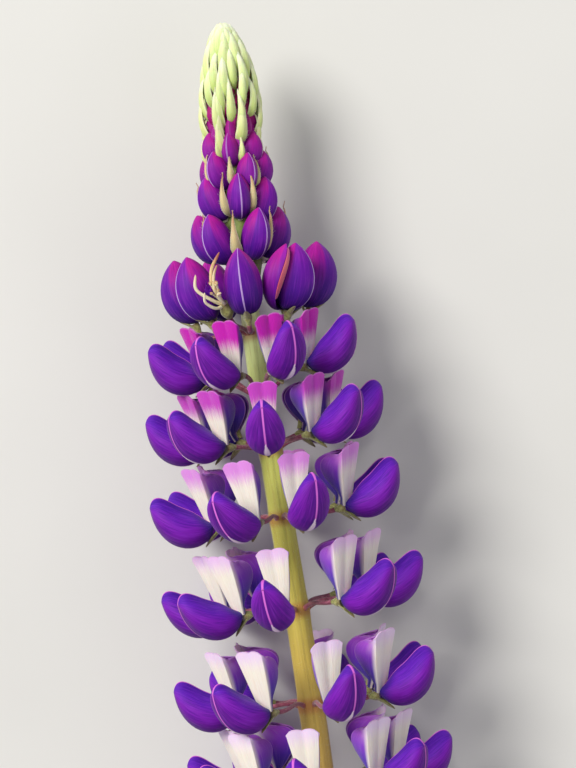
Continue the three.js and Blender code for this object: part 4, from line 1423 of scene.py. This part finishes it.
def bract_patch(seat_here, length, half_width, stand, blunt, youth, seed):
    """A bract, hollow towards the head, its foot sunk between the buds."""
    along = np.linspace(0, 1, BRACT_ROWS)
    across = np.linspace(-1, 1, BRACT_COLUMNS)
    # Widest near a third of its length; the tip is drawn out when it is dry, blunt when fresh.
    slender = np.interp(
        along, [0, 0.12, 0.28, 0.48, 0.66, 0.85, 1], [0.4, 0.86, 1, 0.74, 0.42, 0.18, 0.02]
    )
    round_end = np.interp(
        along, [0, 0.15, 0.32, 0.6, 0.8, 0.93, 1], [0.4, 0.82, 1, 1, 0.82, 0.5, 0.12]
    )
    wide = slender * (1 - blunt) + round_end * blunt
    bend = -BRACT_BEND * length * np.sin(np.pi * along)
    deep = BRACT_DEEP * (0.05 + 0.95 * wide)
    aside = 1.1 * (draw(seed + 0.6) - 0.5) * along**2
    grid = np.zeros((BRACT_ROWS, BRACT_COLUMNS, 3))
    grid[:, :, 0] = (along * length)[:, None]
    roof = 1.15 * np.abs(across[None]) ** 2.1
    lift = stand * np.sin(np.pi * np.clip(along / 0.9, 0, 1)) ** 0.5
    lift -= 1.3 * np.clip(1 - along / 0.22, 0, 1) ** 2
    lift += 0.5 * (draw(seed) - 0.4) * along**3 + 1.5 * (1 - blunt) * draw(seed + 0.3) ** 2 * along**4
    grid[:, :, 1] = bend[:, None] - deep[:, None] * (1 - roof) - lift[:, None]
    grid[:, :, 2] = half_width * (wide[:, None] * across[None] + aside[:, None])
    facts = {
        "along": along[:, None],
        "across": np.abs(across)[None],
        "youth": youth,
        "tone": draw(seed + 0.8),
    }
    return shell(placed(seat_here, grid), BRACT_THICK, 1, facts)


bract_finish = new_finish(
    "bract_skin",
    {
        "Roughness": 0.6,
        "Sheen Weight": 0.5,
        "Sheen Roughness": 0.4,
        "Subsurface Weight": 0.12,
        "Subsurface Scale": 0.0008,
    },
)
bract_along = fact("along")
bract_veins = mottle(own_map(("across", 5.0), ("along", 1.6)), 1.6, 4.0)
bract_height = plus(bract_along, times(bract_veins, 0.3))
bract_dry = shades(
    bract_height, [(0.15, "a8ac62"), (0.4, "c8bd88"), (0.75, "d6c28e"), (1.05, "bd8e62")]
)
bract_fresh = shades(
    bract_height, [(0.15, "96b352"), (0.42, "c2d67a"), (0.75, "dde8a2"), (1.1, "f1f5d0")]
)
bract_freshness = soft_step(fact("youth"), 0.25, 0.75)
bract_both = mixed(bract_freshness, bract_dry, bract_fresh)
bract_colour = tinted(bract_both, fact("across"), 0.72, 1.0, "eeeacb", 0.5)
connect(bract_colour, "Base Color")
raise_grain(bract_veins, 0.00012)


def bract_hairs(patch, count, length, seed):
    """Silky hairs on a bract, most of them along its margins."""
    size = BRACT_ROWS * BRACT_COLUMNS
    grid = patch[0][:size].reshape(BRACT_ROWS, BRACT_COLUMNS, 3)
    feet = []
    ways = []
    for k in range(count):
        r = 1 + int(draw(seed + 0.31 * k) * (BRACT_ROWS - 3))
        c = int(draw(seed + 0.67 * k) * (BRACT_COLUMNS - 1))
        if k % 2:
            c = 0 if draw(seed + 0.83 * k) < 0.5 else BRACT_COLUMNS - 2
        onwards = grid[r + 1, c] - grid[r, c]
        sideways = grid[r, c + 1] - grid[r, c]
        outwards = unit(np.cross(onwards, sideways))
        loose = np.array([draw(seed + 0.9 * k + i) - 0.5 for i in range(3)])
        way = unit(0.9 * unit(onwards) + 0.6 * outwards + 0.8 * loose)
        feet.append(grid[r, c] + sideways * (k % 5) / 5)
        ways.append(length * (0.6 + draw(k)) * way)
    return hair_patch(np.array(feet), np.array(ways))


head_bracts = []
for k, row in enumerate(HEAD_ROWS):
    for n in range(BUDS_PER_ROW):
        blade_here = head_seat(k, n, HEAD_BRACT_BESIDE)
        seed = 700 + 11 * k + n
        length = row.length * (0.92 + 0.25 * draw(seed + 0.2))
        half_width = HEAD_BRACT_HALF * row.length
        head_bracts.append(
            bract_patch(blade_here, length, half_width, HEAD_BRACT_STAND, 0.0, 0.2 * k, seed)
        )
make_piece("head_bracts", head_bracts, bract_finish, ["bud_cluster"])
head_down = [
    bract_hairs(blade, HEAD_BRACT_HAIRS, HEAD_BRACT_HAIR_LENGTH, 20 + k)
    for k, blade in enumerate(head_bracts)
]
make_piece("head_down", head_down, hair_finish, ["bud_cluster"])
tip_bracts = []
for n in range(TIP_BRACTS):
    share = n / (TIP_BRACTS - 1)
    seed = 800 + n
    place = TIP_BRACTS_FROM + TIP_BRACTS_SPAN * share
    azimuth = SPIRAL_TURN * n + 14 * (draw(seed) - 0.5)
    if place < GAPS_UP_TO:
        gap = 360 / BUDS_PER_ROW
        first_gap = HEAD_ROWS[-1].turn + gap / 2
        azimuth = first_gap + gap * round((azimuth - first_gap) / gap)
        azimuth += 12 * (draw(seed + 0.1) - 0.5)
    blade_here, length = spiral_seat(place, azimuth, 0.0, seed)
    length *= 1.0 + (0.24 - 0.2 * share) * draw(seed + 0.2)
    half_width = TIP_BRACT_HALF * (0.78 + 0.3 * draw(seed + 0.5) + 0.12 * share)
    stand = TIP_BRACT_STAND + 0.4 * draw(seed + 0.9) * (1 - 0.5 * share) + 0.9 * (1 - share) ** 4
    blunt = 0.15 + 0.85 * share
    youth = 0.55 + 0.45 * share
    tip_bracts.append(bract_patch(blade_here, length, half_width, stand, blunt, youth, seed))
make_piece("tip_bracts", tip_bracts, bract_finish, ["bud_tip"])
tip_down = [
    bract_hairs(blade, TIP_BRACT_HAIRS, TIP_BRACT_HAIR_LENGTH, 70 + k)
    for k, blade in enumerate(tip_bracts)
]
make_piece("tip_down", tip_down, hair_finish, ["bud_tip"])

# ---- The core of the head -------------------------------------------------------------------
# The stem goes on inside the head, thick and green, and ends in the growing point. Its dark green
# also stands in for the shade in the gaps between the buds and bracts. It is in two pieces with a
# small gap between them, one under the coloured buds and one in the green tip.

CORE_RADII = [
    (185, 2.1),
    (195, 4.6),
    (205, 4.1),
    (220, 4.3),
    (234, 4.2),
    (241, 3.4),
    (246, 2.2),
    (249.4, 0.5),
]
CORE_START = 185.3
CORE_SPLIT = 220.6
CORE_GAP = 0.3
CORE_END = 249.4
CORE_STEPS = 40
CORE_SIDES = 28

core_finish = new_finish("core_skin", {"Roughness": 0.6, "Sheen Weight": 0.4})
core_spots = mottle(own_map(("around", 9.0), ("along", 9.0)), 1.4)
# Partly the stem's own green and partly painted shade: darker than the stem outside the head, so the
# gaps between buds and bracts read as shadow.
core_green_and_painted_shade = shades(core_spots, [(0.3, "5a6a2a"), (0.55, "7d8f40"), (0.75, "9aa85a")])
connect(core_green_and_painted_shade, "Base Color")

for name, low, high, node in (
    ("head_core", CORE_START, CORE_SPLIT, "bud_cluster"),
    ("tip_core", CORE_SPLIT + CORE_GAP, CORE_END, "bud_tip"),
):
    core_places = np.linspace(low, high, CORE_STEPS)
    core_line = [stem_point(place) for place in core_places]
    core_radii = [along_pairs(CORE_RADII, place) for place in core_places]
    make_piece(name, [tube(core_line, core_radii, CORE_SIDES, 0.5)], core_finish, [node])
